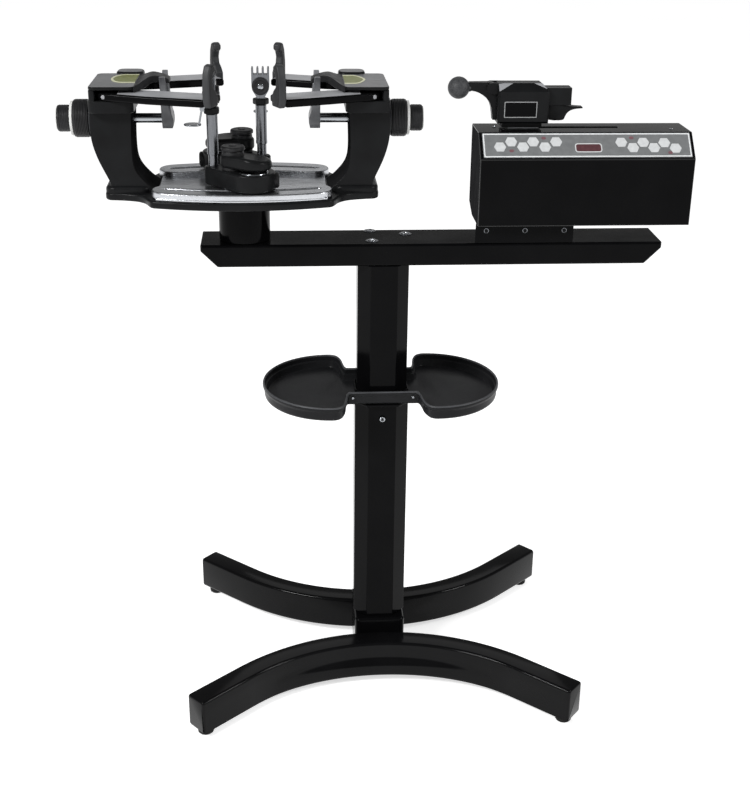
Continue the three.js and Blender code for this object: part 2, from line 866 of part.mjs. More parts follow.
function mainBeam() {
  const outline = polygon([
    [beamLeftX, beamTopZ],
    [beamLeftX, beamBottomZ + beamEndChamfer],
    [beamLeftX + beamEndChamfer, beamBottomZ],
    [beamRightX - beamEndChamfer, beamBottomZ],
    [beamRightX, beamBottomZ + beamEndChamfer],
    [beamRightX, beamTopZ],
  ]);
  const tools = [
    box(
      beamLeftX + beamEndChamfer,
      beamRightX - beamEndChamfer,
      beamWall - beamHalfDepth,
      beamHalfDepth - beamWall,
      beamBottomZ + beamWall,
      beamTopZ - beamWall,
    ),
  ];
  for (const centreX of [columnX - beamSlotLeft, columnX + beamSlotRight]) {
    tools.push(
      box(
        centreX - beamSlotLength / 2,
        centreX + beamSlotLength / 2,
        -beamSlotWidth / 2,
        beamSlotWidth / 2,
        beamBottomZ - overrun,
        beamBottomZ + beamWall + overrun,
      ),
    );
  }
  const body = drawAlongY(outline, -beamHalfDepth, beamHalfDepth, beamEdge);
  return part("main_beam", cut(body, ...tools), finishes.glossPaint);
}

function turntablePost() {
  const bottomZ = beamTopZ + gap;
  const topZ = postTopZ;
  const profile = [
    [0, bottomZ],
    [postRadius, bottomZ],
    [postRadius, topZ - postEdge],
    [postRadius - postEdge, topZ],
    [spindleRadius + gap, topZ],
    [spindleRadius + gap, topZ - spindleLength],
    [0, topZ - spindleLength],
  ];
  return part("turntable_post", turned(profile, turntableX, 0), finishes.glossPaint);
}

function consoleBracket() {
  const topZ = consoleBottomZ - gap;
  const bottomZ = beamTopZ + gap;
  const halfY = beamHalfDepth;
  const outline = polygon([
    [-halfY, bottomZ],
    [-halfY, topZ],
    [consoleBackY - gap, topZ],
    [consoleBackY - gap, bottomZ],
    [consoleBackY - gap - bracketWall, bottomZ],
    [consoleBackY - gap - bracketWall, topZ - bracketWall],
    [bracketWall - halfY, topZ - bracketWall],
    [bracketWall - halfY, bottomZ],
  ]);
  return part("console_bracket", drawAlongX(outline, bracketLeftX, bracketRightX), finishes.glossPaint);
}

// Turntable

function railSide(x) {
  const share = x / baseHalfLength;
  return baseSideHalfDepth + (baseHalfDepth - baseSideHalfDepth) * (1 - share * share);
}

// One quarter of the base's outline, from the middle of its long side to its end.
function baseQuarter(inset) {
  const points = [];
  const length = baseHalfLength - inset;
  for (let step = 0; step <= arcSteps; step += 1) {
    const x = (length * step) / arcSteps;
    points.push([x, railSide(x) - inset]);
  }
  return points;
}

function mirroredOutline(quarter) {
  const right = quarter.concat(quarter.map(([x, y]) => [x, -y]).reverse());
  const left = quarter
    .slice(1)
    .map(([x, y]) => [-x, -y])
    .concat(quarter.slice(1).map(([x, y]) => [-x, y]).reverse());
  return polygon(right.concat([[0, -quarter[0][1]]], left).filter(isNew));
}

function isNew([x, y], index, points) {
  const [lastX, lastY] = points[(index + points.length - 1) % points.length];
  return Math.hypot(x - lastX, y - lastY) > gap * repeatShare;
}

function turntableBase() {
  const middleX = (baseHalfLength + padInnerX) / 2;
  const quarter = baseQuarter(0).concat([
    [middleX, (baseSideHalfDepth + 2 * padHalfDepth) / 3],
    [padInnerX, padHalfDepth],
    [padOuterX - padCorner, padHalfDepth],
    [padOuterX, padHalfDepth - padCorner],
  ]);
  const pads = [-1, 1].map((side) => {
    const edges = ordered(side * padStartX, side * padOuterX);
    const outline = roundedRectangle(edges[0], edges[1], -padHalfDepth, padHalfDepth, padCorner);
    return raise(outline, baseBottomZ + baseEdge, padTopZ, baseEdge);
  });
  const bottomZ = postTopZ + gap;
  const spindle = upright(spindleRadius, 0, 0, bottomZ - spindleLength + gap, baseBottomZ + baseEdge);
  const plate = raise(mirroredOutline(quarter), baseBottomZ, baseTopZ, baseEdge);
  return part("turntable_base", join(plate, spindle, ...pads), finishes.satinPaint);
}

// A curved band along one rail: side is -1 on the user's side and 1 on the far side.
function railBand(side, halfWidth, halfLength) {
  const centreY = side * (railOffset - railRadius);
  const middle = (side * Math.PI) / 2;
  const spread = Math.asin((halfLength - halfWidth) / railRadius);
  const start = middle - spread;
  const end = middle + spread;
  const shape = new THREE.Shape();
  shape.absarc(0, centreY, railRadius + halfWidth, start, end);
  shape.absarc(
    railRadius * Math.cos(end),
    centreY + railRadius * Math.sin(end),
    halfWidth,
    end,
    end + Math.PI,
  );
  shape.absarc(0, centreY, railRadius - halfWidth, end, start, true);
  shape.absarc(
    railRadius * Math.cos(start),
    centreY + railRadius * Math.sin(start),
    halfWidth,
    start + Math.PI,
    start + 2 * Math.PI,
  );
  return shape;
}

function railPlate() {
  const bottomZ = baseTopZ + gap;
  const floorZ = bottomZ + railFloorThickness;
  const floor = raise(mirroredOutline(baseQuarter(railPlateInset)), bottomZ, floorZ);
  const rails = [-1, 1].map((side) => {
    return raise(railBand(side, railWidth / 2, railHalfLength), bottomZ, railTopZ, railEdge);
  });
  const slots = [-1, 1].map((side) => {
    return raise(railBand(side, railSlotWidth / 2, railSlotHalfLength), floorZ, railTopZ + overrun);
  });
  return part("rail_plate", cut(join(floor, ...rails), ...slots), finishes.aluminium);
}

// The tower on the +X side; the other one is turned half a turn.
function tower() {
  const outerShares = [
    [0, 0],
    [0.08, 0.06],
    [0.7, 0.33],
    [1, 0.58],
    [0.96, 0.9],
    [0.9, 1],
  ];
  const innerShares = [
    [0, 0],
    [0.1, 0.17],
    [0.8, 0.37],
    [1, 0.52],
    [0.75, 0.78],
    [0.6, 1],
  ];
  const bottomZ = padTopZ + gap;
  const height = towerTopZ - bottomZ;
  const place = (fromX, toX) => ([along, up]) => [fromX + along * (toX - fromX), bottomZ + up * height];
  const outer = smoothCurve(outerShares.map(place(towerFootOuterX, towerOuterX)), profileSteps);
  const inner = smoothCurve(innerShares.map(place(towerFootInnerX, towerWaistInnerX)), profileSteps);
  const outline = polygon(outer.concat(inner.reverse()));
  const column = drawAlongY(outline, -towerHalfDepth, towerHalfDepth, towerEdge);
  const flange = raise(
    roundedRectangle(towerTopInnerX, towerOuterX, -flangeHalfDepth, flangeHalfDepth, flangeCorner),
    towerTopZ - flangeThickness,
    towerTopZ,
    flangeEdge,
  );
  const ribTopZ = topPlateBottomZ - gap;
  const ribs = [
    box(ribInnerX, wallInnerX + overrun, -ribHalfWidth, ribHalfWidth, towerTopZ - overrun, ribTopZ),
    box(wallInnerX, wallOuterX, -wallHalfDepth, wallHalfDepth, towerTopZ - overrun, ribTopZ),
  ];
  const bores = [
    lyingAlongX(hookShaftRadius + gap, 0, sleeveEndX, 0, shaftZ),
    lyingAlongX(knobSleeveRadius + gap, sleeveEndX - gap, towerOuterX + overrun, 0, shaftZ),
    upright(
      armPinRadius + gap,
      armPivotX,
      armPivotY,
      towerTopZ - armPinDepth,
      towerTopZ + overrun,
      smallRoundSteps,
    ),
    upright(
      armPinRadius + gap,
      armPivotX,
      -armPivotY,
      towerTopZ - armPinDepth,
      towerTopZ + overrun,
      smallRoundSteps,
    ),
  ];
  return cut(join(column, flange, ...ribs), ...bores);
}

function topPlate() {
  const outline = roundedRectangle(
    topPlateInnerX,
    topPlateOuterX,
    -topPlateHalfDepth,
    topPlateHalfDepth,
    topPlateCorner,
  );
  const plate = raise(outline, topPlateBottomZ, topPlateTopZ, topPlateEdge);
  const bores = [-armPivotY, armPivotY].map((y) => {
    const bottomZ = topPlateBottomZ - overrun;
    return upright(
      armPinRadius + gap,
      armPivotX,
      y,
      bottomZ,
      topPlateBottomZ + armPinTop + gap,
      smallRoundSteps,
    );
  });
  return cut(plate, ...bores);
}

function noseSupport() {
  const rootX = ribInnerX - gap;
  const crestZ = topPlateTopZ + noseRise;
  const rootZ = towerTopZ + overrun;
  const upper = smoothCurve(
    [
      [rootX, topPlateTopZ],
      [(rootX + noseCrestX) / 2, (topPlateTopZ + 2 * crestZ) / 3],
      [noseCrestX, crestZ],
      [noseTipX, crestZ - noseTipDrop],
    ],
    profileSteps,
  );
  const lower = smoothCurve(
    [
      [noseTipX, crestZ - noseTipDrop - noseThickness],
      [noseCrestX, crestZ - noseThickness],
      [rootX - noseRootThickness, (rootZ + crestZ) / 2],
      [rootX - noseRootThickness, rootZ],
    ],
    profileSteps,
  );
  const outline = polygon(upper.concat(lower, [[rootX, rootZ]]));
  return drawAlongY(outline, -noseHalfWidth, noseHalfWidth, noseEdge);
}

// Racket supports

// A point on the plane between a side arm and its claw, counted outwards from the claw's middle.
function armEndPoint(clawX, reach) {
  const back = clawThickness / 2 + gap;
  return [
    clawX + back * Math.cos(clawTurn) + reach * Math.sin(clawTurn),
    clawY - back * Math.sin(clawTurn) + reach * Math.cos(clawTurn),
  ];
}

function sideArm(clawX, sideX, sideY) {
  const points = [];
  for (let step = 0; step <= arcSteps; step += 1) {
    const angle = -Math.PI / 2 + (rootArc * step) / arcSteps;
    points.push([armPivotX + armRootRadius * Math.cos(angle), armPivotY + armRootRadius * Math.sin(angle)]);
  }
  const innerEndReach = (armInnerEndY - armEndPoint(clawX, 0)[1]) / Math.cos(clawTurn);
  points.push([armOuterMidX, armOuterMidY]);
  points.push(armEndPoint(clawX, armEndReach));
  points.push(armEndPoint(clawX, innerEndReach));
  points.push([armInnerMidX, armInnerMidY]);
  const outline = polygon(points.map(([x, y]) => [sideX * x, sideY * y]));
  const plate = raise(outline, armBottomZ, armTopZ, armEdge);
  const pin = upright(
    armPinRadius,
    sideX * armPivotX,
    sideY * armPivotY,
    towerTopZ - armPinDepth + gap,
    topPlateBottomZ + armPinTop,
    smallRoundSteps,
  );
  return join(plate, pin);
}

// The claw's outline: the share of its reach outwards, and the share of its height.
const clawShares = [
  [-1, 0],
  [-1, 0.26],
  [-0.55, 0.4],
  [-0.1, 0.48],
  [0.02, 0.62],
  [-0.2, 0.76],
  [-0.62, 0.82],
  [-0.6, 0.94],
  [-0.15, 1],
  [0.4, 0.97],
  [0.8, 0.8],
  [1, 0.52],
  [1, 0.2],
  [0.7, 0],
];

function claw(clawX, sideX, sideY) {
  const outline = clawShares.map(([out, up]) => {
    const reach = out < 0 ? clawInnerReach : clawOuterReach;
    return [out * reach, armBottomZ + up * clawHeight];
  });
  const geometry = drawAlongY(polygon(outline), -clawThickness / 2, clawThickness / 2, clawEdge);
  const heading = Math.atan2(sideY * Math.cos(clawTurn), sideX * Math.sin(clawTurn));
  return geometry.rotateZ(heading).translate(sideX * clawX, sideY * clawY, 0);
}

function sideArmKnob() {
  const outerX = largeKnobX + largeKnobLength;
  const bore = hookScrewRadius + gap;
  const profile = [
    [bore, largeKnobX - knobSleeveLength],
    [knobSleeveRadius, largeKnobX - knobSleeveLength],
    [knobSleeveRadius, largeKnobX],
    [largeKnobRadius - knobEdge, largeKnobX],
    [largeKnobRadius, largeKnobX + knobEdge],
    [largeKnobRadius, outerX - knobEdge],
    [largeKnobRadius - knobEdge, outerX],
    [bore, outerX],
    [bore, largeKnobX - knobSleeveLength],
  ];
  return turnedAlongX(profile, 0, shaftZ);
}

function hookKnob() {
  const outerX = smallKnobX + smallKnobLength;
  const collarX = largeKnobX + largeKnobLength + gap;
  const profile = [
    [0, hookScrewEndX],
    [hookScrewRadius, hookScrewEndX],
    [hookScrewRadius, collarX],
    [knobSleeveRadius, collarX],
    [knobSleeveRadius, smallKnobX],
    [smallKnobRadius - knobEdge, smallKnobX],
    [smallKnobRadius, smallKnobX + knobEdge],
    [smallKnobRadius, outerX - knobEdge],
    [smallKnobRadius - knobEdge, outerX],
    [0, outerX],
  ];
  return turnedAlongX(profile, 0, shaftZ);
}

// The centre hook's right-hand outline: shares of its half width and of its height.
const hookOuterShares = [
  [0.45, 0],
  [0.62, 0.12],
  [1, 0.5],
  [1, 0.76],
  [1.4, 1],
];
const hookInnerShares = [
  [1.12, 1],
  [0.68, 0.78],
  [0.66, 0.52],
  [0.4, 0.42],
];

function centerHook() {
  const bottomZ = shaftZ - hookDrop;
  const place = ([across, up]) => [across * hookHalfWidth, bottomZ + up * (hookTopZ - bottomZ)];
  const half = hookOuterShares.concat(hookInnerShares).map(place);
  const outline = polygon(half.concat(half.map(([y, z]) => [-y, z]).reverse()));
  const yoke = drawAlongX(outline, hookInnerX, hookInnerX + hookThickness, hookEdge);
  const shaft = lyingAlongX(
    hookShaftRadius,
    hookInnerX + hookThickness - overrun,
    hookShaftEndX,
    0,
    shaftZ,
  );
  const bore = lyingAlongX(
    hookScrewRadius + gap,
    hookBoreEndX,
    hookShaftEndX + overrun,
    0,
    shaftZ,
    smallRoundSteps,
  );
  return cut(join(yoke, shaft), bore);
}

// String clamps, as they stand on the rail of the user's side

function clampBase() {
  const outline = beltRound(
    clampLobeX,
    clampLobeY,
    clampLobeRadius,
    clampPostX,
    clampPostY,
    clampSocketRadius,
  );
  const body = raise(outline, clampBaseZ, clampTopZ, clampBaseEdge);
  const keyY = railRadius - railOffset - Math.sqrt(railRadius * railRadius - clampLobeX * clampLobeX);
  const key = upright(
    railSlotWidth / 2 - gap,
    clampLobeX,
    keyY,
    railTopZ - clampKeyDepth,
    clampBaseZ + clampBaseEdge,
    smallRoundSteps,
  );
  const screwX = clampLobeX + clampLobeRadius;
  const screwZ = clampBaseZ + clampBaseHeight / 2;
  const screw = lyingAlongX(
    clampScrewRadius,
    screwX - clampScrewRadius,
    screwX + clampScrewReach,
    clampLobeY,
    screwZ,
    smallRoundSteps,
  );
  const socketZ = clampTopZ - clampSocketDepth;
  const socket = upright(clampPostRadius + gap, clampPostX, clampPostY, socketZ, clampTopZ + overrun);
  const pinZ = clampTopZ - clampPinHeight - gap;
  const pinHole = upright(
    clampPinRadius + gap,
    clampLeverX,
    clampLeverY,
    pinZ,
    clampTopZ + overrun,
    smallRoundSteps,
  );
  return cut(join(body, key, screw), socket, pinHole);
}

function clampLockLever() {
  const bottomZ = clampTopZ + gap;
  const hubTopZ = bottomZ + clampHubHeight;
  const wingZ = bottomZ + clampWingLift;
  const hub = upright(clampHubRadius, clampLeverX, clampLeverY, bottomZ, hubTopZ);
  const disc = turned(
    [
      [0, hubTopZ - overrun],
      [clampDiscRadius, hubTopZ - overrun],
      [clampDiscRadius, hubTopZ + clampDiscHeight - overrun],
      [clampDiscRadius - overrun, hubTopZ + clampDiscHeight],
      [0, hubTopZ + clampDiscHeight],
    ],
    clampLeverX,
    clampLeverY,
  );
  const pin = upright(
    clampPinRadius,
    clampLeverX,
    clampLeverY,
    clampTopZ - clampPinHeight,
    bottomZ + overrun,
    smallRoundSteps,
  );
  const outline = beltRound(
    clampWingX,
    clampWingY,
    clampWingRadius,
    clampLeverX,
    clampLeverY,
    clampHubRadius - overrun / 2,
  );
  const wing = raise(outline, wingZ, wingZ + clampWingHeight, clampBaseEdge);
  return join(hub, disc, pin, wing);
}

// The jaw plate's outline without its teeth: shares of its half width and of its height.
const jawShares = [
  [0.4, 0],
  [0.62, 0.12],
  [0.9, 0.26],
  [1, 0.42],
  [1, 0.8],
];

function jawPlate() {
  const bottomZ = collarTopZ - overrun;
  const height = jawTopZ - bottomZ;
  const half = jawShares.map(([across, up]) => [across * jawPlateHalfWidth, bottomZ + up * height]);
  const rootZ = jawTopZ - jawToothHeight;
  const points = half.filter(([, z]) => z < rootZ);
  points.push([jawPlateHalfWidth, rootZ]);
  const pitch = (2 * jawPlateHalfWidth - jawToothWidth) / (jawToothCount - 1);
  for (let tooth = 0; tooth < jawToothCount; tooth += 1) {
    const rightX = jawPlateHalfWidth - tooth * pitch;
    const leftX = rightX - jawToothWidth;
    points.push([rightX, rootZ], [rightX, jawTopZ], [leftX, jawTopZ], [leftX, rootZ]);
  }
  const mirrored = half.filter(([, z]) => z < rootZ).map(([x, z]) => [-x, z]);
  return polygon(points.concat(mirrored.reverse()).filter(isNew));
}

function clampPost() {
  const outerY = jawSlit / 2 + jawPlateThickness;
  const discY = outerY + jawDiscThickness;
  const pieces = [
    upright(clampPostRadius, 0, 0, clampTopZ - clampSocketDepth + gap, clampPostTopZ + overrun),
    upright(
      clampCollarRadius,
      0,
      0,
      clampPostTopZ,
      collarTopZ,
      hexagonSides,
    ).rotateZ(Math.PI / hexagonSides),
  ];
  for (const side of [-1, 1]) {
    const faces = ordered((side * jawSlit) / 2, side * outerY);
    pieces.push(drawAlongY(jawPlate(), faces[0], faces[1]));
    const discFaces = ordered(side * (outerY - overrun), side * discY);
    pieces.push(lyingAlongY(jawDiscRadius, discFaces[0], discFaces[1], 0, jawDiscZ));
    const capFaces = ordered(side * (discY - overrun), side * (discY + jawCapHeight));
    pieces.push(lyingAlongY(jawCapRadius, capFaces[0], capFaces[1], 0, jawDiscZ, smallRoundSteps));
  }
  const earInner = jawLeverWidth / 2 + gap;
  for (const side of [-1, 1]) {
    const edges = ordered(side * earInner, side * (earInner + jawEarThickness));
    pieces.push(
      box(
        edges[0],
        edges[1],
        -jawPivotY - jawEarReach,
        -outerY + overrun,
        jawPivotZ - jawEarReach,
        jawPivotZ + jawEarReach,
      ),
    );
  }
  const holeReach = jawPinHalfLength + gap;
  const hole = lyingAlongX(
    jawPinRadius + gap,
    -holeReach,
    holeReach,
    -jawPivotY,
    jawPivotZ,
    smallRoundSteps,
  );
  return cut(join(...pieces), hole);
}

function clampJawLever() {
  const halfWidth = jawLeverWidth / 2;
  const tabZ = jawPivotZ - jawLeverDrop;
  const barHalf = jawBarThickness / 2;
  const hub = lyingAlongX(jawEarReach, -halfWidth, halfWidth, -jawPivotY, jawPivotZ, smallRoundSteps);
  const pin = lyingAlongX(
    jawPinRadius,
    -jawPinHalfLength,
    jawPinHalfLength,
    -jawPivotY,
    jawPivotZ,
    smallRoundSteps,
  );
  const bar = box(-halfWidth, halfWidth, -jawPivotY - barHalf, barHalf - jawPivotY, tabZ, jawPivotZ);
  const oval = new THREE.Shape();
  oval.absellipse(0, -jawPivotY - jawTabReach / 2, jawTabRadius, jawTabReach / 2 + barHalf, 0, 2 * Math.PI);
  const tab = raise(oval, tabZ, tabZ + jawTabThickness);
  return join(hub, pin, bar, tab);
}

// Tensioner

function consoleProfile(inset) {
  const slope = Math.atan2(consoleTopZ - consoleFrontTopZ, consoleTopFrontY - consoleFrontY);
  const lean = inset * Math.tan((Math.PI / 2 - slope) / 2);
  const turn = inset * Math.tan(slope / 2);
  const chamfer = Math.atan2(consoleRearChamferZ - consoleBottomZ, consoleBackY - consoleRearChamferY);
  const rise = inset * Math.tan((Math.PI / 2 - chamfer) / 2);
  const drop = inset / Math.sin(chamfer);
  return polygon([
    [consoleFrontY + inset, consoleBottomZ - (inset > 0 ? overrun : 0)],
    [consoleFrontY + inset, consoleFrontTopZ - lean],
    [consoleTopFrontY + turn, consoleTopZ - inset],
    [consoleBackY - inset, consoleTopZ - inset],
    [consoleBackY - inset, consoleRearChamferZ + rise],
    [consoleRearChamferY - drop, consoleBottomZ],
    [consoleRearChamferY - drop, consoleBottomZ - (inset > 0 ? overrun : 0)],
  ].filter(isNew));
}

function consoleShell() {
  const rightX = consoleLeftX + consoleLength;
  const body = drawAlongX(consoleProfile(0), consoleLeftX, rightX);
  const hollow = drawAlongX(consoleProfile(consoleWall), consoleLeftX + consoleWall, rightX - consoleWall);
  const slot = box(
    carriageX - slotClearance,
    carriageX + carriageLength + carriageTravel + slotReserve,
    driveY - neckHalfDepth - slotClearance,
    driveY + neckHalfDepth + slotClearance,
    consoleTopZ - consoleWall - overrun,
    consoleTopZ + overrun,
  );
  const window = box(
    inletX - gap,
    inletX + inletLength + gap,
    consoleBackY - consoleWall - overrun,
    consoleBackY + overrun,
    inletBottomZ - gap,
    inletBottomZ + inletHeight + gap,
  );
  return part("console_shell", cut(body, hollow, slot, window), finishes.glossPaint);
}

function consoleBasePlate() {
  const leftX = consoleLeftX + consoleWall + gap;
  const rightX = consoleLeftX + consoleLength - consoleWall - gap;
  const frontY = consoleFrontY + consoleWall + gap;
  const lipY = frontY + lipSetBack;
  const plate = box(leftX, rightX, frontY, consoleRearChamferY - plateSetBack, consoleBottomZ, chassisTopZ);
  const lip = box(
    boardLeftX,
    boardLeftX + boardLength,
    lipY,
    lipY + lipThickness,
    chassisTopZ - overrun,
    chassisTopZ + lipHeight,
  );
  const uprights = [leftUprightX, rightUprightX].map((x) => {
    return box(
      x,
      x + uprightThickness,
      driveY - uprightHalfDepth,
      driveY + uprightHalfDepth,
      chassisTopZ + uprightStep,
      uprightTopZ,
    );
  });
  const feet = [leftUprightX, rightUprightX].map((x) => {
    return box(
      x,
      x + uprightThickness,
      driveY - uprightHalfDepth,
      consoleRearChamferY - plateSetBack,
      chassisTopZ - overrun,
      chassisTopZ + uprightStep + overrun,
    );
  });
  const cuts = [];
  for (const x of [leftUprightX, rightUprightX]) {
    const endX = x + uprightThickness + overrun;
    cuts.push(lyingAlongX(screwRadius + gap, x - overrun, endX, driveY, screwZ, smallRoundSteps));
    for (const y of [driveY - rodSpread, driveY + rodSpread]) {
      cuts.push(lyingAlongX(rodRadius + gap, x - overrun, endX, y, rodZ, smallRoundSteps));
    }
  }
  return part(
    "console_base_plate",
    cut(join(plate, lip, ...uprights, ...feet), ...cuts),
    finishes.satinPaint,
  );
}

function controlPanel() {
  const geometry = new THREE.BoxGeometry(panelLength, panelHeight, panelThickness);
  const slope = Math.atan2(consoleTopZ - consoleFrontTopZ, consoleTopFrontY - consoleFrontY);
  const lift = panelThickness / 2 + gap;
  const middleY = (consoleFrontY + consoleTopFrontY) / 2 - lift * Math.sin(slope);
  const middleZ = (consoleFrontTopZ + consoleTopZ) / 2 + lift * Math.cos(slope);
  geometry.rotateX(slope).translate(consoleLeftX + consoleLength / 2, middleY, middleZ);
  return part("control_panel", geometry, finishes.panel);
}

function powerInlet() {
  const topZ = inletBottomZ + inletHeight;
  const endX = inletX + inletLength;
  const faceY = consoleBackY + gap + inletFlangeThickness;
  const body = box(inletX, endX, faceY - inletDepth, faceY, inletBottomZ, topZ);
  const flange = box(
    inletX - inletFlange,
    endX + inletFlange,
    faceY - inletFlangeThickness,
    faceY,
    inletBottomZ - inletFlange,
    topZ + inletFlange,
  );
  const middleZ = (inletBottomZ + topZ) / 2;
  const socket = box(
    socketX - socketWidth / 2,
    socketX + socketWidth / 2,
    faceY - socketDepth,
    faceY + overrun,
    middleZ - socketHeight / 2,
    middleZ + socketHeight / 2,
  );
  const well = box(
    rockerX - rockerWidth / 2 - rockerClearance,
    rockerX + rockerWidth / 2 + rockerClearance,
    faceY - rockerWellDepth,
    faceY + overrun,
    middleZ - rockerHeight / 2 - rockerClearance,
    middleZ + rockerHeight / 2 + rockerClearance,
  );
  const pinHole = lyingAlongX(
    rockerPinRadius + gap,
    rockerX - rockerWidth / 2 - rockerPinReach - gap,
    rockerX + rockerWidth / 2 + rockerPinReach + gap,
    faceY - rockerPinDepth,
    middleZ,
    smallRoundSteps,
  );
  return part("power_inlet", cut(join(body, flange), socket, well, pinHole), finishes.plastic);
}

// The rocker is drawn about its own pin, then tipped to one side.
function powerRocker() {
  const half = rockerHeight / 2;
  const outline = polygon([
    [rockerPinDepth, 0],
    [rockerPinDepth + rockerProud, half],
    [rockerPinDepth - rockerDepth, half * rockerWaistShare],
    [rockerPinDepth - rockerDepth, -half * rockerWaistShare],
    [rockerPinDepth + rockerProud, -half],
  ]);
  const halfWidth = rockerWidth / 2;
  const reach = halfWidth + rockerPinReach;
  const body = drawAlongX(outline, -halfWidth, halfWidth);
  const pin = lyingAlongX(rockerPinRadius, -reach, reach, 0, 0, smallRoundSteps);
  const mesh = part("power_rocker", join(body, pin), finishes.plastic);
  const faceY = consoleBackY + gap + inletFlangeThickness;
  mesh.position.set(rockerX, faceY - rockerPinDepth, inletBottomZ + inletHeight / 2);
  mesh.rotation.x = rockerTilt;
  return mesh;
}

function circuitBoard() {
  const lipY = consoleFrontY + consoleWall + gap + lipSetBack;
  const bottomZ = chassisTopZ + boardLift;
  const geometry = box(
    boardLeftX,
    boardLeftX + boardLength,
    lipY - gap - boardThickness,
    lipY - gap,
    bottomZ,
    bottomZ + boardHeight,
  );
  return part("circuit_board", geometry, finishes.board);
}

function driveMotor() {
  const faceX = rightUprightX + uprightThickness + gap;
  const profile = [
    [0, faceX + motorBoreDepth],
    [screwRadius + gap, faceX + motorBoreDepth],
    [screwRadius + gap, faceX],
    [motorRadius, faceX],
    [motorRadius, faceX + motorLength],
    [0, faceX + motorLength],
  ];
  return part("drive_motor", turnedAlongX(profile, driveY, screwZ), finishes.aluminium);
}

function leadScrew() {
  const rightX = rightUprightX + uprightThickness + motorBoreDepth;
  const geometry = lyingAlongX(screwRadius, leftUprightX + gap, rightX, driveY, screwZ, smallRoundSteps);
  return part("lead_screw", geometry, finishes.aluminium);
}

function guideRod(name, side) {
  const rightX = rightUprightX + uprightThickness;
  const y = driveY + side * rodSpread;
  return part(
    name,
    lyingAlongX(rodRadius, leftUprightX, rightX, y, rodZ, smallRoundSteps),
    finishes.aluminium,
  );
}

function carriageBlock() {
  const rightX = carriageX + carriageLength;
  const block = box(
    carriageX,
    rightX,
    driveY - carriageHalfDepth,
    driveY + carriageHalfDepth,
    carriageBottomZ,
    carriageTopZ,
  );
  const neck = box(
    carriageX,
    rightX,
    driveY - neckHalfDepth,
    driveY + neckHalfDepth,
    carriageTopZ - overrun,
    headBottomZ - gap,
  );
  const bores = [lyingAlongX(
    screwRadius + gap,
    carriageX - overrun,
    rightX + overrun,
    driveY,
    screwZ,
    smallRoundSteps,
  )];
  for (const side of [-1, 1]) {
    const y = driveY + side * rodSpread;
    bores.push(lyingAlongX(
      rodRadius + gap,
      carriageX - overrun,
      rightX + overrun,
      y,
      rodZ,
      smallRoundSteps,
    ));
  }
  return part("carriage_block", cut(join(block, neck), ...bores), finishes.aluminium);
}

// Tension head

function tensionHead() {
  const rightX = headLeftX + headWidth;
  const blockRightX = rightX + blockLength;
  const blockTopZ = headTopZ - blockDrop;
  const bodyZ = headBottomZ + headFootHeight;
  const outline = polygon([
    [headLeftX, bodyZ],
    [rightX, bodyZ],
    [rightX, headTopZ - headShoulder],
    [rightX - headShoulder, headTopZ],
    [headLeftX, headTopZ],
  ]);
  const section = polygon([
    [headFrontY - overrun, headBottomZ],
    [headBackY + overrun, headBottomZ],
    [headBackY + overrun, headTopZ + overrun],
    [headFrontY + headFrontBevel + overrun, headTopZ + overrun],
    [headFrontY - overrun, headTopZ - headFrontBevel - overrun],
  ]);
  const squareBody = drawAlongY(outline, headFrontY, headBackY, headEdge);
  const body = keepInside(squareBody, drawAlongX(section, headLeftX - overrun, rightX + overrun));
  const foot = box(
    headLeftX + headFootInset,
    rightX - headFootInset,
    driveY - blockHalfDepth,
    driveY + blockHalfDepth,
    headBottomZ,
    bodyZ + headEdge,
  );
  const block = box(
    rightX - headEdge,
    blockRightX,
    driveY - blockHalfDepth,
    driveY + blockHalfDepth,
    blockTopZ - blockHeight,
    blockTopZ,
  );
  const ears = [-1, 1].map((side) => {
    const inner = side * leverHalfWidth + side * gap;
    const faces = ordered(inner, inner + side * leverEarThickness);
    const rootX = headLeftX + headEdge;
    const shape = beltRound(leverPinX, leverPinZ, leverHubRadius, rootX, leverPinZ, leverHubRadius);
    return drawAlongY(shape, driveY + faces[0], driveY + faces[1]);
  });
  const pin = lyingAlongY(
    leverPinRadius,
    driveY - leverHalfWidth - leverEarThickness / 2,
    driveY + leverHalfWidth + leverEarThickness / 2,
    leverPinX,
    leverPinZ,
    smallRoundSteps,
  );
  const wingPin = upright(
    wingPinRadius,
    rightX + wingHubInset,
    driveY,
    blockTopZ - blockHeight - gap - wingHubHeight + overrun,
    blockTopZ - blockHeight + overrun,
    smallRoundSteps,
  );
  const stringSlit = box(
    headLeftX - overrun,
    blockRightX + overrun,
    driveY - stringSlitWidth / 2,
    driveY + stringSlitWidth / 2,
    headTopZ - stringSlitDepth,
    headTopZ + overrun,
  );
  const solid = cut(join(body, foot, block, ...ears), stringSlit);
  return part("tension_head", join(solid, pin, wingPin), finishes.satinPaint);
}

// Shares of the grip lever's underside: along from the ball to the head, and down from its top.
const leverCurveShares = [
  [0, 0.22],
  [0.3, 0.26],
  [0.6, 0.4],
  [0.8, 0.62],
  [0.88, 1],
];

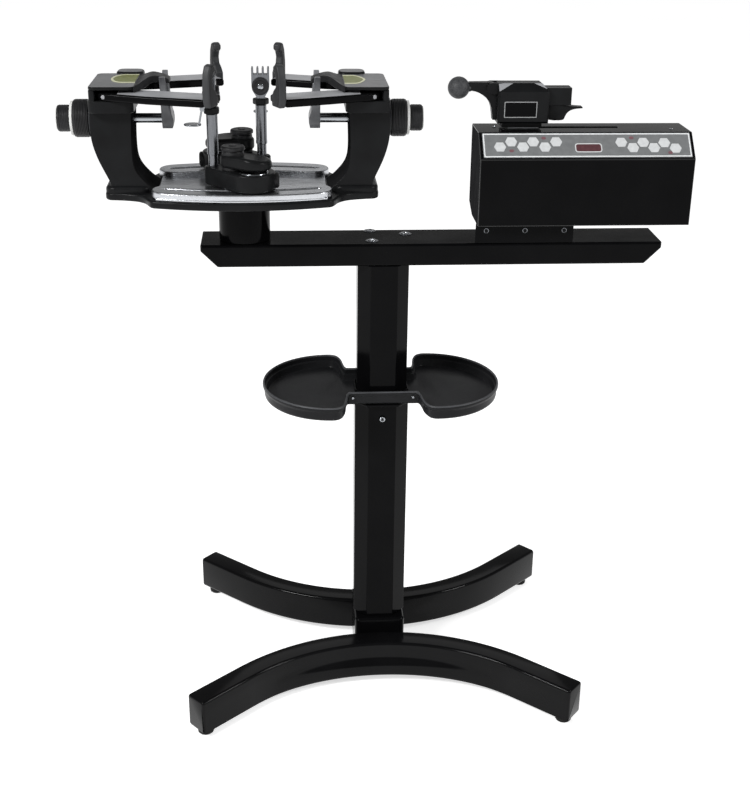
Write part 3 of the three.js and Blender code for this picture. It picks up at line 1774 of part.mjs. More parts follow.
function gripLever() {
  const startX = ballX + ballRadius + gap;
  const rightX = headLeftX - gap;
  const topZ = leverPinZ + leverHubRadius;
  const bottomZ = headBottomZ + headFootHeight + leverFootLift;
  const corner = smoothCurve(
    leverCurveShares.map(([along, down]) => [
      startX + along * (rightX - startX),
      topZ - down * (topZ - bottomZ),
    ]),
    arcSteps,
  );
  const side = [
    [leverPinX, topZ],
    [startX, topZ],
    ...corner,
    [rightX, bottomZ],
    [rightX, leverPinZ],
  ];
  for (let step = 1; step < smallRoundSteps / 2; step += 1) {
    const angle = (step * Math.PI) / smallRoundSteps;
    const reach = rightX - leverPinX;
    side.push([leverPinX + reach * Math.cos(angle), leverPinZ + leverHubRadius * Math.sin(angle)]);
  }
  const halfHub = leverHalfWidth;
  const body = drawAlongY(polygon(side), driveY - halfHub, driveY + halfHub);
  const plan = polygon([
    [startX - overrun, driveY - leverTipHalfWidth],
    [leverPinX - leverHubRadius, driveY - halfHub],
    [rightX + overrun, driveY - halfHub],
    [rightX + overrun, driveY + halfHub],
    [leverPinX - leverHubRadius, driveY + halfHub],
    [startX - overrun, driveY + leverTipHalfWidth],
  ]);
  const tapered = keepInside(body, raise(plan, bottomZ - overrun, topZ + overrun));
  const stud = lyingAlongX(
    leverStudRadius,
    startX - leverStudLength,
    startX + overrun,
    driveY,
    ballZ,
    smallRoundSteps,
  );
  const bore = lyingAlongY(
    leverPinRadius + gap,
    driveY - halfHub - overrun,
    driveY + halfHub + overrun,
    leverPinX,
    leverPinZ,
    smallRoundSteps,
  );
  return part("grip_lever", cut(join(tapered, stud), bore), finishes.satinPaint);
}

function gripLeverBall() {
  const ball = new THREE.SphereGeometry(
    ballRadius,
    smallRoundSteps,
    arcSteps,
  ).translate(ballX, driveY, ballZ);
  const bore = lyingAlongX(
    leverStudRadius + gap,
    ballX + ballRadius - leverStudLength - gap,
    ballX + ballRadius + overrun,
    driveY,
    ballZ,
    smallRoundSteps,
  );
  return part("grip_lever_ball", cut(ball, bore), finishes.greyPlastic);
}

function wingLever() {
  const x = headLeftX + headWidth + wingHubInset;
  const topZ = headTopZ - blockDrop - blockHeight - gap;
  const bottomZ = topZ - wingHubHeight;
  const tipX = headLeftX + headWidth + wingTipReach;
  const hub = upright(wingHubRadius, x, driveY, bottomZ, topZ);
  const plan = polygon([
    [x, driveY - wingHubRadius + overrun],
    [tipX - wingTipHalfWidth, driveY - wingTipHalfWidth],
    [tipX, driveY - wingTipHalfWidth / 2],
    [tipX, driveY + wingTipHalfWidth / 2],
    [tipX - wingTipHalfWidth, driveY + wingTipHalfWidth],
    [x, driveY + wingHubRadius - overrun],
  ]);
  const blade = raise(plan, topZ - wingTipThickness - overrun, topZ - overrun);
  const bore = upright(wingPinRadius + gap, x, driveY, bottomZ - overrun, topZ + overrun, smallRoundSteps);
  return part("wing_lever", cut(join(hub, blade), bore), finishes.satinPaint);
}

// Assembly

const stand = new THREE.Group();
stand.add(
  leg("front_leg", -1),
  leg("rear_leg", 1),
  foot("foot_front_left", -1, -1),
  foot("foot_front_right", 1, -1),
  foot("foot_rear_left", -1, 1),
  foot("foot_rear_right", 1, 1),
  columnBase(),
  lowerColumn(),
  accessoryTray(),
  lockScrew(),
);

const mast = new THREE.Group();
mast.add(upperColumn(), mainBeam(), turntablePost(), consoleBracket());

const tensioner = new THREE.Group();
tensioner.add(
  consoleShell(),
  consoleBasePlate(),
  controlPanel(),
  powerInlet(),
  powerRocker(),
  circuitBoard(),
  driveMotor(),
  leadScrew(),
  guideRod("guide_rod_front", -1),
  guideRod("guide_rod_rear", 1),
  carriageBlock(),
  tensionHead(),
  gripLever(),
  gripLeverBall(),
  wingLever(),
);

const turntable = new THREE.Group();
turntable.position.x = turntableX;
turntable.add(turntableBase(), railPlate());

for (const [label, turn] of [["right", 0], ["left", Math.PI]]) {
  const side = new THREE.Group();
  side.rotation.z = turn;
  side.add(
    part(`tower_${label}`, tower(), finishes.satinPaint),
    part(`top_plate_${label}`, topPlate(), finishes.satinPaint),
    part(`nose_support_${label}`, noseSupport(), finishes.plastic),
    part(`side_arm_knob_${label}`, sideArmKnob(), finishes.plastic),
    part(`hook_knob_${label}`, hookKnob(), finishes.plastic),
    part(`center_hook_${label}`, centerHook(), finishes.greyPlastic),
  );
  turntable.add(side);
}

for (const [sideLabel, sideX, clawX] of [["left", -1, tipClawX], ["right", 1, throatClawX]]) {
  for (const [depthLabel, sideY] of [["front", -1], ["rear", 1]]) {
    turntable.add(
      part(`side_arm_${depthLabel}_${sideLabel}`, sideArm(clawX, sideX, sideY), finishes.satinPaint),
      part(`claw_${depthLabel}_${sideLabel}`, claw(clawX, sideX, sideY), finishes.greyPlastic),
    );
  }
}

const clampSettings = [
  ["front", 0, frontClampSlide, frontHeadTurn],
  ["rear", Math.PI, rearClampSlide, rearHeadTurn],
];
for (const [label, turn, slide, headTurn] of clampSettings) {
  const railFrame = new THREE.Group();
  railFrame.rotation.z = turn;
  const swing = new THREE.Group();
  swing.position.y = railRadius - railOffset;
  swing.rotation.z = slide / railRadius;
  const clamp = new THREE.Group();
  clamp.position.y = railOffset - railRadius;
  const post = new THREE.Group();
  post.position.set(clampPostX, clampPostY, 0);
  post.rotation.z = headTurn;
  post.add(
    part(`clamp_post_${label}`, clampPost(), finishes.chrome),
    part(`clamp_jaw_lever_${label}`, clampJawLever(), finishes.chrome),
  );
  clamp.add(
    part(`clamp_base_${label}`, clampBase(), finishes.satinPaint),
    part(`clamp_lock_lever_${label}`, clampLockLever(), finishes.satinPaint),
    post,
  );
  swing.add(clamp);
  railFrame.add(swing);
  turntable.add(railFrame);
}

const machine = new THREE.Group();
machine.name = "racket_stringing_machine";
machine.add(stand, mast, tensioner, turntable);

export default machine;
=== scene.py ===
# %% [markdown]
# A racket stringing machine stands on a pale floor. Its construction is already there: a fixed
# frame of closed solids at their real size. This lesson gives each solid its looks. Shapes that
# are right are copied, welded and given their small rounded edges; what a photograph of such a
# machine shows beyond that, such as ribbed knobs, keys and bolts, is modelled by hand around them.

# %% Load the frame
import json
import math

import bmesh
import bpy
from mathutils import Matrix, Vector

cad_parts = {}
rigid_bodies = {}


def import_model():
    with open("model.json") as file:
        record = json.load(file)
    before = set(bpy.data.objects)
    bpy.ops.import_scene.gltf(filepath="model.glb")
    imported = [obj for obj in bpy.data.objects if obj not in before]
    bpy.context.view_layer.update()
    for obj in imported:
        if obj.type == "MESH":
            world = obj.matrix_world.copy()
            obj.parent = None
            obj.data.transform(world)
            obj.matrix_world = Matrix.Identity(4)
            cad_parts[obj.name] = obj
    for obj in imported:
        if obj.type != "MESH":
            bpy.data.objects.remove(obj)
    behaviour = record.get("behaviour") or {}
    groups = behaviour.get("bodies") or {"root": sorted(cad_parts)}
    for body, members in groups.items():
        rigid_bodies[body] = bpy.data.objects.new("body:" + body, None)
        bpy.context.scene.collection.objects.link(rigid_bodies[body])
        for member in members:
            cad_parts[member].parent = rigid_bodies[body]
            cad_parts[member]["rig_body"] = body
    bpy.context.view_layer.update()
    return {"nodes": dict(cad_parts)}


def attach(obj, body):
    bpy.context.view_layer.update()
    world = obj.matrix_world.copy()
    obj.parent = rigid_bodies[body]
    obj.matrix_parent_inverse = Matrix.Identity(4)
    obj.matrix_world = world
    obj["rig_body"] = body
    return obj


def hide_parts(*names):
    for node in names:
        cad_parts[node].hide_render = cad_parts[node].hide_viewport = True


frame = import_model()
millimetre = 0.001

# %% [markdown]
# The camera comes first, because every later choice is judged through it. It stands in front of
# the machine at 1.28 m, a little to the left of the column, and looks down at 23 degrees. Its
# angles were found by fitting the beam, the housing and the feet of the machine to the picture.

# %% Place the camera
camera_place = Vector((-140.54, -1895.70, 1283.54)) * millimetre
camera_yaw = math.radians(4.276259)
camera_pitch = math.radians(23.037703)
camera_roll = math.radians(0.7207528)
focal_pixels = 1301.1323
picture_long_side = 794
sensor_side = 36
far_clip = 200

forward = Vector((
    math.sin(camera_yaw) * math.cos(camera_pitch),
    math.cos(camera_yaw) * math.cos(camera_pitch),
    -math.sin(camera_pitch),
))
level_right = Vector((math.cos(camera_yaw), -math.sin(camera_yaw), 0))
level_up = level_right.cross(forward)
right = math.cos(camera_roll) * level_right + math.sin(camera_roll) * level_up
up = math.cos(camera_roll) * level_up - math.sin(camera_roll) * level_right

camera_data = bpy.data.cameras.new("camera")
camera_data.sensor_width = sensor_side
camera_data.lens = focal_pixels * sensor_side / picture_long_side
camera_data.clip_end = far_clip
camera = bpy.data.objects.new("camera", camera_data)
camera.matrix_world = Matrix((
    (right.x, up.x, -forward.x, camera_place.x),
    (right.y, up.y, -forward.y, camera_place.y),
    (right.z, up.z, -forward.z, camera_place.z),
    (0, 0, 0, 1),
))
bpy.context.scene.collection.objects.link(camera)
bpy.context.scene.camera = camera
print("camera lens in millimetres:", round(camera_data.lens, 2))

# %% [markdown]
# Colours are written as the hex values of a colour picker, which are sRGB. Shaders calculate
# in linear light, so one function turns the one into the other. A second small function adds a
# shader node together with its settings and its links, which keeps each material to a few lines.

# %% Colour and node helpers
def linear(code):
    """The linear colour of an sRGB hex value such as #1a1a1c."""
    shares = [int(code[at:at + 2], 16) / 255 for at in (1, 3, 5)]
    curve = [s / 12.92 if s <= 0.04045 else ((s + 0.055) / 1.055) ** 2.4 for s in shares]
    return (*curve, 1.0)


def add_node(tree, kind, settings=None, **inputs):
    """Adds a node. Settings are its own values; each input is a value or another node's socket."""
    node = tree.nodes.new(kind)
    for name, value in (settings or {}).items():
        setattr(node, name, value)
    for name, value in inputs.items():
        key = int(name[2:]) if name.startswith("in") else name.replace("_", " ")
        socket = node.inputs[key]
        if isinstance(value, bpy.types.NodeSocket):
            tree.links.new(value, socket)
        else:
            socket.default_value = value
    return node


def new_material(name):
    """A material with an empty node tree."""
    material = bpy.data.materials.new(name)
    material.use_nodes = True
    material.node_tree.nodes.clear()
    return material, material.node_tree


def per_metre(size_mm):
    """The scale at which a pattern's features measure about size_mm."""
    return 1 / (size_mm * millimetre)


def finish_surface(tree, **inputs):
    """Adds the Principled shader and the output. Inputs are its sockets."""
    shader = add_node(tree, "ShaderNodeBsdfPrincipled", **inputs)
    add_node(tree, "ShaderNodeOutputMaterial", Surface=shader.outputs["BSDF"])
    return shader


def object_noise(tree, size_mm, detail=3.0, roughness=0.5, stretch=(1, 1, 1)):
    """Noise on Object coordinates with features of about size_mm, drawn out along an axis."""
    place = add_node(tree, "ShaderNodeTexCoord")
    mapping = add_node(tree, "ShaderNodeMapping", Vector=place.outputs["Object"], Scale=stretch)
    noise = add_node(
        tree, "ShaderNodeTexNoise", Vector=mapping.outputs["Vector"],
        Scale=per_metre(size_mm), Detail=detail, Roughness=roughness,
    )
    return noise.outputs["Fac"]


def spread(tree, source, low, high):
    """Spreads noise, which stays near one half, over the range from low to high."""
    node = add_node(tree, "ShaderNodeMapRange", in0=source, in1=0.3, in2=0.7, in3=low, in4=high)
    return node.outputs["Result"]


def two_colours(tree, source, first, second):
    """A mix of two hex colours that follows the source."""
    node = add_node(
        tree, "ShaderNodeMix", {"data_type": "RGBA"}, in0=source, in6=linear(first), in7=linear(second),
    )
    return node.outputs[2]


def bump(tree, height, height_mm):
    """A relief of height_mm between the lowest and the highest value of the pattern."""
    relief = add_node(tree, "ShaderNodeBump", Height=height, Distance=height_mm * millimetre, Strength=1.0)
    return relief.outputs["Normal"]


print("helpers ready")

# %% [markdown]
# Nearly every finish here follows one plan: a slow drift between two tones, a fine grain that
# gives a relief, and a roughness that wanders a little, because no real surface is the same all
# over. One function lays the plan out as nodes, and each finish below gives it its real sizes.

# %% The plan of a finish
def make_finish(name, dark, light, drift, roughness, grain=None, relief_mm=0.0, by_grain=False, **sockets):
    """The tones follow the drift, and so does a pair of roughnesses, unless it goes by the grain."""
    material, tree = new_material(name)
    slow = object_noise(tree, **drift)
    fine = object_noise(tree, **grain) if grain else slow
    if isinstance(roughness, tuple):
        roughness = spread(tree, fine if by_grain else slow, *roughness)
    if relief_mm:
        sockets["Normal"] = bump(tree, fine, relief_mm)
    colour = two_colours(tree, spread(tree, slow, 0, 1), dark, light) if light else linear(dark)
    finish_surface(tree, Base_Color=colour, Roughness=roughness, **sockets)
    return material


print("plan ready")

# %% [markdown]
# The legs, columns, beam and housing are welded steel with a stoved gloss black powder paint.
# Powder flows out as it melts but never quite level, so its reflections waver: the orange peel
# of a few millimetres. The paint itself is nearly black, and its gloss does the rest. On the
# legs it lies thicker and shines more. The rolled edges of the housing get a lighter, glossier
# copy of it, whose lighter tone is a painted highlight.

# %% Gloss black powder paint
def make_gloss_black_paint(name, dark, light, specular):
    return make_finish(
        name, dark, light, drift=dict(size_mm=60), grain=dict(size_mm=3.5, detail=1.0), relief_mm=0.02,
        roughness=(0.1, 0.16), Specular_IOR_Level=specular,
    )


gloss_black_paint = make_gloss_black_paint("gloss_black_powder_paint", "#070708", "#0b0b0c", 0.05)
thick_leg_paint = make_gloss_black_paint("thick_gloss_leg_paint", "#0a0a0b", "#0f0f10", 0.11)
# a lighter, glossier copy for the housing's rolled edges: its lighter tone is a painted highlight
painted_highlight_edge_paint = make_gloss_black_paint("edge_paint_with_painted_highlight", "#1c1c1d", "#232324", 0.5)
print("made", gloss_black_paint.name)

# %% [markdown]
# The ends of the housing and the inner walls of the castings get a rough, finely textured black
# that mirrors nothing, not even at a grazing angle. It is painted shade: these sides are picked
# by the way they face and kept as dark as the gloss fronts.

# %% Rough black coats
def make_rough_black(name, dark, light):
    return make_finish(
        name, dark, light, drift=dict(size_mm=30), grain=dict(size_mm=0.8, detail=2.0), relief_mm=0.03,
        roughness=0.75, Specular_IOR_Level=0.0,
    )


matt_textured_end_shade_paint = make_rough_black("matt_textured_black_end_shade_paint", "#242425", "#2d2d2e")
casting_wall_in_painted_shade = make_rough_black("inner_casting_wall_painted_shade", "#1b1b1c", "#232324")
print("made", matt_textured_end_shade_paint.name, "and", casting_wall_in_painted_shade.name)

# %% [markdown]
# The turntable parts are aluminium castings with a satin black paint. The sand and the shot
# blasting leave a fine pebble under the paint, which spreads the highlights into a soft sheen.

# %% Satin painted casting
black_casting = make_finish(
    "satin_painted_aluminium_casting", "#121213", "#191a1b", drift=dict(size_mm=35, detail=4.0),
    grain=dict(size_mm=1.2, detail=2.0), relief_mm=0.03, roughness=(0.28, 0.38), Specular_IOR_Level=0.1,
)
print("made", black_casting.name)

# %% [markdown]
# Small levers, keys and screws are chromed steel: a mirror with hardly any colour of its own.
# Handling leaves it a little uneven, which shows as faint changes of its roughness.

# %% Chromed steel
chromed_steel = make_finish(
    "chromed_steel", "#9da0a4", None, drift=dict(size_mm=12, detail=4.0), roughness=(0.12, 0.24),
    Metallic=1.0,
)
print("made", chromed_steel.name)

# %% [markdown]
# The plate with the two raised rails is bare aluminium, ground and polished along its length.
# The grinding lines are finer than a picture shows, so they are drawn 0.6 mm apart here. They
# run along X, so the noise is drawn out in that direction.

# %% Polished aluminium
polished_aluminium = make_finish(
    "ground_and_polished_aluminium", "#c2c4c8", "#cdcfd3", drift=dict(size_mm=30),
    grain=dict(size_mm=0.6, detail=2.0, stretch=(0.02, 1, 1)), relief_mm=0.006,
    roughness=(0.22, 0.34), by_grain=True, Metallic=1.0,
)
print("made", polished_aluminium.name)

# %% [markdown]
# The chassis parts inside the housing are plain machined steel. The turning and milling marks
# run round or along the parts and are drawn here as short streaks.

# %% Machined steel
chassis_steel = make_finish(
    "machined_chassis_steel", "#9b9da0", "#b2b4b7", roughness=(0.3, 0.45), Metallic=1.0,
    drift=dict(size_mm=0.8, detail=2.0, stretch=(0.05, 1, 1)),
)
print("made", chassis_steel.name)

# %% [markdown]
# The feet are moulded rubber: matte, a warm black, with a dusty bloom in patches.

# %% Black rubber
black_rubber = make_finish(
    "moulded_black_rubber", "#131312", "#1f1e1d", drift=dict(size_mm=9, detail=5.0),
    grain=dict(size_mm=0.7, detail=2.0), relief_mm=0.03, roughness=0.8, Specular_IOR_Level=0.3,
)
print("made", black_rubber.name)

# %% [markdown]
# The tray is injection moulded ABS with a spark eroded texture: small round pits, all over,
# that turn a black plastic into a soft dark grey where light falls on it.

# %% Textured tray plastic
black_tray_plastic = make_finish(
    "textured_abs_tray_plastic", "#191a1b", "#202022", drift=dict(size_mm=40),
    grain=dict(size_mm=0.9, detail=2.0), relief_mm=0.04, roughness=(0.3, 0.42), Specular_IOR_Level=0.1,
)
print("made", black_tray_plastic.name)

# %% [markdown]
# Knobs, claws, the power inlet and the nose supports are black glass-filled nylon, moulded with
# a fine grain that is a little duller than the tray.

# %% Moulded nylon
black_moulded_plastic = make_finish(
    "moulded_black_nylon", "#1a1a1b", "#232325", drift=dict(size_mm=14),
    grain=dict(size_mm=0.6, detail=2.0), relief_mm=0.02, roughness=(0.4, 0.55), Specular_IOR_Level=0.25,
)
print("made", black_moulded_plastic.name)

# %% [markdown]
# The collars between the towers and the knobs are a dark grey acetal. It is waxier and lighter
# than the nylon, with flow marks from moulding that show as slow changes of tone.

# %% Grey acetal
grey_plastic = make_finish(
    "moulded_grey_acetal", "#242527", "#303134", drift=dict(size_mm=16, detail=4.0, stretch=(1, 1, 0.4)),
    roughness=(0.38, 0.5), Specular_IOR_Level=0.4,
)
print("made", grey_plastic.name)

# %% [markdown]
# The control panel is a printed polyester film on the sloping face of the housing: a cool mid
# grey with a very fine leathery grain that keeps fingerprints from showing.

# %% Printed panel film
panel_film = make_finish(
    "printed_polyester_film", "#6a6c6d", "#757778", drift=dict(size_mm=8, detail=4.0),
    grain=dict(size_mm=0.5, detail=2.0), relief_mm=0.01, roughness=0.5, Specular_IOR_Level=0.4,
)
print("made", panel_film.name)

# %% [markdown]
# The circuit board is green glass-fibre laminate. Copper tracks run under the lacquer, drawn as
# thin stripes at a typical pitch of 2.5 mm.

# %% Circuit board laminate
def make_circuit_board(track_pitch_mm):
    material, tree = new_material("green_board_laminate")
    place = add_node(tree, "ShaderNodeTexCoord")
    tracks = add_node(
        tree, "ShaderNodeTexWave", {"wave_type": "BANDS", "bands_direction": "Z"},
        Vector=place.outputs["Object"], Scale=per_metre(track_pitch_mm) / (2 * math.pi), Distortion=2.0,
    )
    colour = two_colours(tree, tracks.outputs["Fac"], "#1d5c34", "#2b7646")
    finish_surface(tree, Base_Color=colour, Roughness=0.35)
    return material


circuit_board_laminate = make_circuit_board(2.5)
print("made", circuit_board_laminate.name)

# %% [markdown]
# The world is what a studio with white walls and a darker ceiling gives, for the camera and for
# a mirror or a glass alike, and a calmer grey as a source of light. The floor is a matt off-white
# that goes on far past the picture and shines a little to the camera, so that it ends in plain
# white and still keeps the machine's soft shadow.

# %% Build the studio
def seen_directly(tree):
    """One for camera, glossy and transmission rays, zero for light that falls on things."""
    path = add_node(tree, "ShaderNodeLightPath")
    either = add_node(
        tree, "ShaderNodeMath", {"operation": "MAXIMUM"},
        in0=path.outputs["Is Camera Ray"], in1=path.outputs["Is Glossy Ray"],
    )
    any_of = add_node(
        tree, "ShaderNodeMath", {"operation": "MAXIMUM"},
        in0=either.outputs["Value"], in1=path.outputs["Is Transmission Ray"],
    )
    return any_of.outputs["Value"]


def make_world(light_level, ceiling_level, walls_end, ceiling_starts):
    """White walls up to one angle above the horizon, in degrees, that fade to the ceiling at another."""
    world = bpy.data.worlds.new("white_studio")
    world.use_nodes = True
    tree = world.node_tree
    tree.nodes.clear()
    direction = add_node(tree, "ShaderNodeTexCoord")
    height = add_node(tree, "ShaderNodeSeparateXYZ", Vector=direction.outputs["Generated"])
    walls = add_node(
        tree, "ShaderNodeMapRange", in0=height.outputs["Z"], in1=math.sin(math.radians(walls_end)),
        in2=math.sin(math.radians(ceiling_starts)), in3=1.0, in4=ceiling_level,
    )
    strength = add_node(
        tree, "ShaderNodeMapRange", in0=seen_directly(tree), in1=0.0, in2=1.0,
        in3=light_level, in4=walls.outputs["Result"],
    )
    shine = add_node(
        tree, "ShaderNodeBackground", Color=linear("#ffffff"), Strength=strength.outputs["Result"],
    )
    add_node(tree, "ShaderNodeOutputWorld", Surface=shine.outputs["Background"])
    bpy.context.scene.world = world


def make_floor(radius, glow):
    bpy.ops.mesh.primitive_circle_add(vertices=96, radius=radius, fill_type="NGON")
    floor = bpy.context.object
    floor.name = "studio_floor"
    material, tree = new_material("matt_white_floor")
    cloud = object_noise(tree, size_mm=900, detail=2.0)
    shade = two_colours(tree, spread(tree, cloud, 0, 1), "#e9e9e9", "#ededed")
    matt = add_node(tree, "ShaderNodeBsdfDiffuse", Color=shade)
    level = add_node(
        tree, "ShaderNodeMath", {"operation": "MULTIPLY"}, in0=seen_directly(tree), in1=glow,
    )
    shine = add_node(tree, "ShaderNodeEmission", Strength=level.outputs["Value"])
    both = add_node(
        tree, "ShaderNodeAddShader", in0=matt.outputs["BSDF"], in1=shine.outputs["Emission"],
    )
    add_node(tree, "ShaderNodeOutputMaterial", Surface=both.outputs["Shader"])
    floor.data.materials.append(material)
    return floor


def add_softbox(name, place, target, width, height, watts):
    """An area light that faces the target."""
    light = bpy.data.lights.new(name, "AREA")
    light.shape = "RECTANGLE"
    light.size = width
    light.size_y = height
    light.energy = watts
    box = bpy.data.objects.new(name, light)
    box.location = place
    box.rotation_euler = (Vector(target) - Vector(place)).to_track_quat("-Z", "Y").to_euler()
    bpy.context.scene.collection.objects.link(box)


bpy.context.scene.view_settings.view_transform = "Standard"
bpy.ops.object.select_all(action="DESELECT")
make_world(light_level=0.45, ceiling_level=0.16, walls_end=3, ceiling_starts=14)
make_floor(radius=70, glow=0.62)
machine_middle = (0, 0, 0.6)
add_softbox("left_softbox", (-2.2, -1.8, 2.6), machine_middle, 1.3, 0.35, 85)
add_softbox("right_softbox", (2.4, -1.2, 2.2), machine_middle, 0.8, 0.35, 30)
add_softbox("back_softbox", (0.4, 2.4, 2.6), machine_middle, 1.8, 1.8, 7)

# %% [markdown]
# A part that comes out of a press, a mould or a grinder never has a knife edge, and it is the
# rounded edge that catches the light. So a solid whose shape is right is copied, its triangles
# are welded and joined to whole faces, and its sharp edges are rounded by a Bevel modifier that
# looks only at edges that turn by more than a set angle. A Weighted Normal modifier then keeps
# the large flat faces flat, so that they do not shade like the narrow roundings beside them.

# %% Copy a solid and round its edges
weld_distance = 0.01 * millimetre
flat_within = math.radians(0.5)
smooth_up_to = math.radians(35)


def pick(piece):
    """Makes one piece the only selected object, and the active one."""
    bpy.ops.object.select_all(action="DESELECT")
    piece.select_set(True)
    bpy.context.view_layer.objects.active = piece


def copy_of(node):
    """A copy of a frame solid, welded and with its flat triangles joined."""
    source = frame["nodes"][node]
    piece = bpy.data.objects.new(node + "_finish", source.data.copy())
    bpy.context.scene.collection.objects.link(piece)
    pick(piece)
    bpy.ops.object.mode_set(mode="EDIT")
    bpy.ops.mesh.select_all(action="SELECT")
    bpy.ops.mesh.remove_doubles(threshold=weld_distance)
    bpy.ops.mesh.dissolve_limited(angle_limit=flat_within)
    bpy.ops.object.mode_set(mode="OBJECT")
    return piece


def round_edges(piece, edge_mm, segments=3, from_angle=28):
    """Rounds every edge that turns by more than from_angle degrees. Flat faces stay flat."""
    pick(piece)
    rounding = piece.modifiers.new("rounded_edges", "BEVEL")
    rounding.width = edge_mm * millimetre
    rounding.segments = segments
    rounding.limit_method = "ANGLE"
    rounding.angle_limit = math.radians(from_angle)
    bpy.ops.object.modifier_apply(modifier=rounding.name)
    bpy.ops.object.shade_smooth_by_angle(angle=smooth_up_to)
    flattening = piece.modifiers.new("flat_faces_shade_flat", "WEIGHTED_NORMAL")
    flattening.keep_sharp = True
    bpy.ops.object.modifier_apply(modifier=flattening.name)
    return piece


def dress(piece, material, body, slot, *nodes):
    """Gives a piece its material and its body, and hides the solids that it stands for. The slot is not
    used.
    """
    piece.data.materials.clear()
    piece.data.materials.append(material)
    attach(piece, body)
    if nodes:
        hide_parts(*nodes)
    return piece


def body_of_node(node):
    """The body that a frame solid belongs to."""
    return frame["nodes"][node]["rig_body"]


def at(x, y, z):
    """A place written in millimetres, as the frame's metres."""
    return Vector((x, y, z)) * millimetre


print("faces shade smoothly up to an edge of", round(math.degrees(smooth_up_to)), "degrees")

# %% [markdown]
# Everything beyond the copied solids starts as a loop: a circle primitive whose vertices are
# moved onto an outline. A flat outline is extruded to a plate, two outlines are bridged to a
# ring, and a profile is spun to a turned piece. These few ways make nearly every part here.

# %% Plates, rings and turned pieces
def loop_on(name, places, fill="NGON"):
    """A circle with a vertex for each place of an outline, moved onto them."""
    bpy.ops.object.select_all(action="DESELECT")
    bpy.ops.mesh.primitive_circle_add(vertices=len(places), radius=1, fill_type=fill)
    piece = bpy.context.object
    piece.name = name
    for vertex, place in zip(piece.data.vertices, places):
        vertex.co = place
    return piece


def edit(piece):
    """Opens a piece for editing with everything selected."""
    pick(piece)
    bpy.ops.object.mode_set(mode="EDIT")
    bpy.ops.mesh.select_all(action="SELECT")


merge_distance = 0.002 * millimetre


def close_edit():
    """Merges doubled vertices, turns every face outwards and leaves edit mode."""
    bpy.ops.mesh.select_all(action="SELECT")
    bpy.ops.mesh.remove_doubles(threshold=merge_distance)
    bpy.ops.mesh.delete_loose()
    bpy.ops.mesh.select_all(action="SELECT")
    bpy.ops.mesh.normals_make_consistent(inside=False)
    bpy.ops.object.mode_set(mode="OBJECT")


def thicken(piece, offset_mm):
    """Extrudes a flat outline by an offset to a closed plate."""
    edit(piece)
    bpy.ops.mesh.extrude_region_move(TRANSFORM_OT_translate={"value": at(*offset_mm)})
    close_edit()
    return piece


def plate(name, outline, level, thickness, plane="XY"):
    """A plate from a flat outline in mm. Plane XY lies flat, XZ faces front, YZ faces sideways."""
    place, offset = {
        "XY": (lambda a, b: at(a, b, level), (0, 0, thickness)),
        "XZ": (lambda a, b: at(a, level, b), (0, thickness, 0)),
        "YZ": (lambda a, b: at(level, a, b), (thickness, 0, 0)),
    }[plane]
    return thicken(loop_on(name, [place(a, b) for a, b in outline]), offset)


def band_between(name, first, second):
    """A band of faces between two outlines of as many places each."""
    band = loop_on(name, first, "NOTHING")
    other = loop_on(name + "_other_side", second, "NOTHING")
    pick(band)
    other.select_set(True)
    bpy.ops.object.join()
    edit(band)
    bpy.ops.mesh.bridge_edge_loops()
    bpy.ops.object.mode_set(mode="OBJECT")
    return band


def ring_between(name, outer, inner, offset_mm):
    """A flat ring between two outlines of as many places each, drawn out to a closed plate."""
    return thicken(band_between(name, outer, inner), offset_mm)


def turned(name, profile, foot, axis, steps=72):
    """A piece from the lathe: its profile is pairs of length along the axis and radius, in mm."""
    axis = Vector(axis).normalized()
    across = axis.orthogonal().normalized()
    foot = at(*foot)
    places = [foot + (axis * along + across * radius) * millimetre for along, radius in profile]
    piece = loop_on(name, places, "NOTHING")
    edit(piece)
    bpy.ops.mesh.spin(steps=steps, angle=2 * math.pi, center=foot, axis=axis)
    close_edit()
    return piece


print("ways of modelling ready")

# %% [markdown]
# Outlines are put together from a few shapes: arcs, a belt round two discs, rectangles with
# round corners, and smooth curves through a few places.

# %% Outlines and profiles
def rod_profile(start, end, radius):
    """The profile of a plain round rod."""
    return [(start, 0), (start, radius), (end, radius), (end, 0)]


def raised(outline, height):
    """An outline in millimetres, laid level at a height."""
    return [at(x, y, height) for x, y in outline]


def belt(x1, y1, r1, x2, y2, r2, steps=20):
    """The outline of a belt laid round two discs."""
    heading = math.degrees(math.atan2(y2 - y1, x2 - x1))
    lean = math.degrees(math.acos((r1 - r2) / math.hypot(x2 - x1, y2 - y1)))
    return (
        arc((x1, y1), r1, heading + lean, heading - lean + 360, steps)
        + arc((x2, y2), r2, heading - lean, heading + lean, steps)
    )


def smooth_curve(points, steps):
    """Points on a smooth curve through the given ones, with a few steps to each stretch."""
    last = len(points) - 1
    curve = []
    for index in range(last):
        before, start, end, after = (
            Vector(points[min(max(k, 0), last)]) for k in range(index - 1, index + 3)
        )
        for step in range(steps):
            t = step / steps
            curve.append(0.5 * (
                2 * start + (end - before) * t
                + (2 * before - 5 * start + 4 * end - after) * t ** 2
                + (3 * start - before - 3 * end + after) * t ** 3
            ))
    return curve + [Vector(points[-1])]


def arc(centre, radius, start, end, steps):
    """Points on an arc, with its angles in degrees."""
    angles = [math.radians(start + (end - start) * step / steps) for step in range(steps + 1)]
    return [Vector((centre[0] + radius * math.cos(a), centre[1] + radius * math.sin(a))) for a in angles]


def rounded_rectangle(low_x, high_x, low_y, high_y, corner, steps=6):
    """The outline of a rectangle with round corners, in mm."""
    return (
        arc((high_x - corner, low_y + corner), corner, -90, 0, steps)
        + arc((high_x - corner, high_y - corner), corner, 0, 90, steps)
        + arc((low_x + corner, high_y - corner), corner, 90, 180, steps)
        + arc((low_x + corner, low_y + corner), corner, 180, 270, steps)
    )


print("outline tools ready")

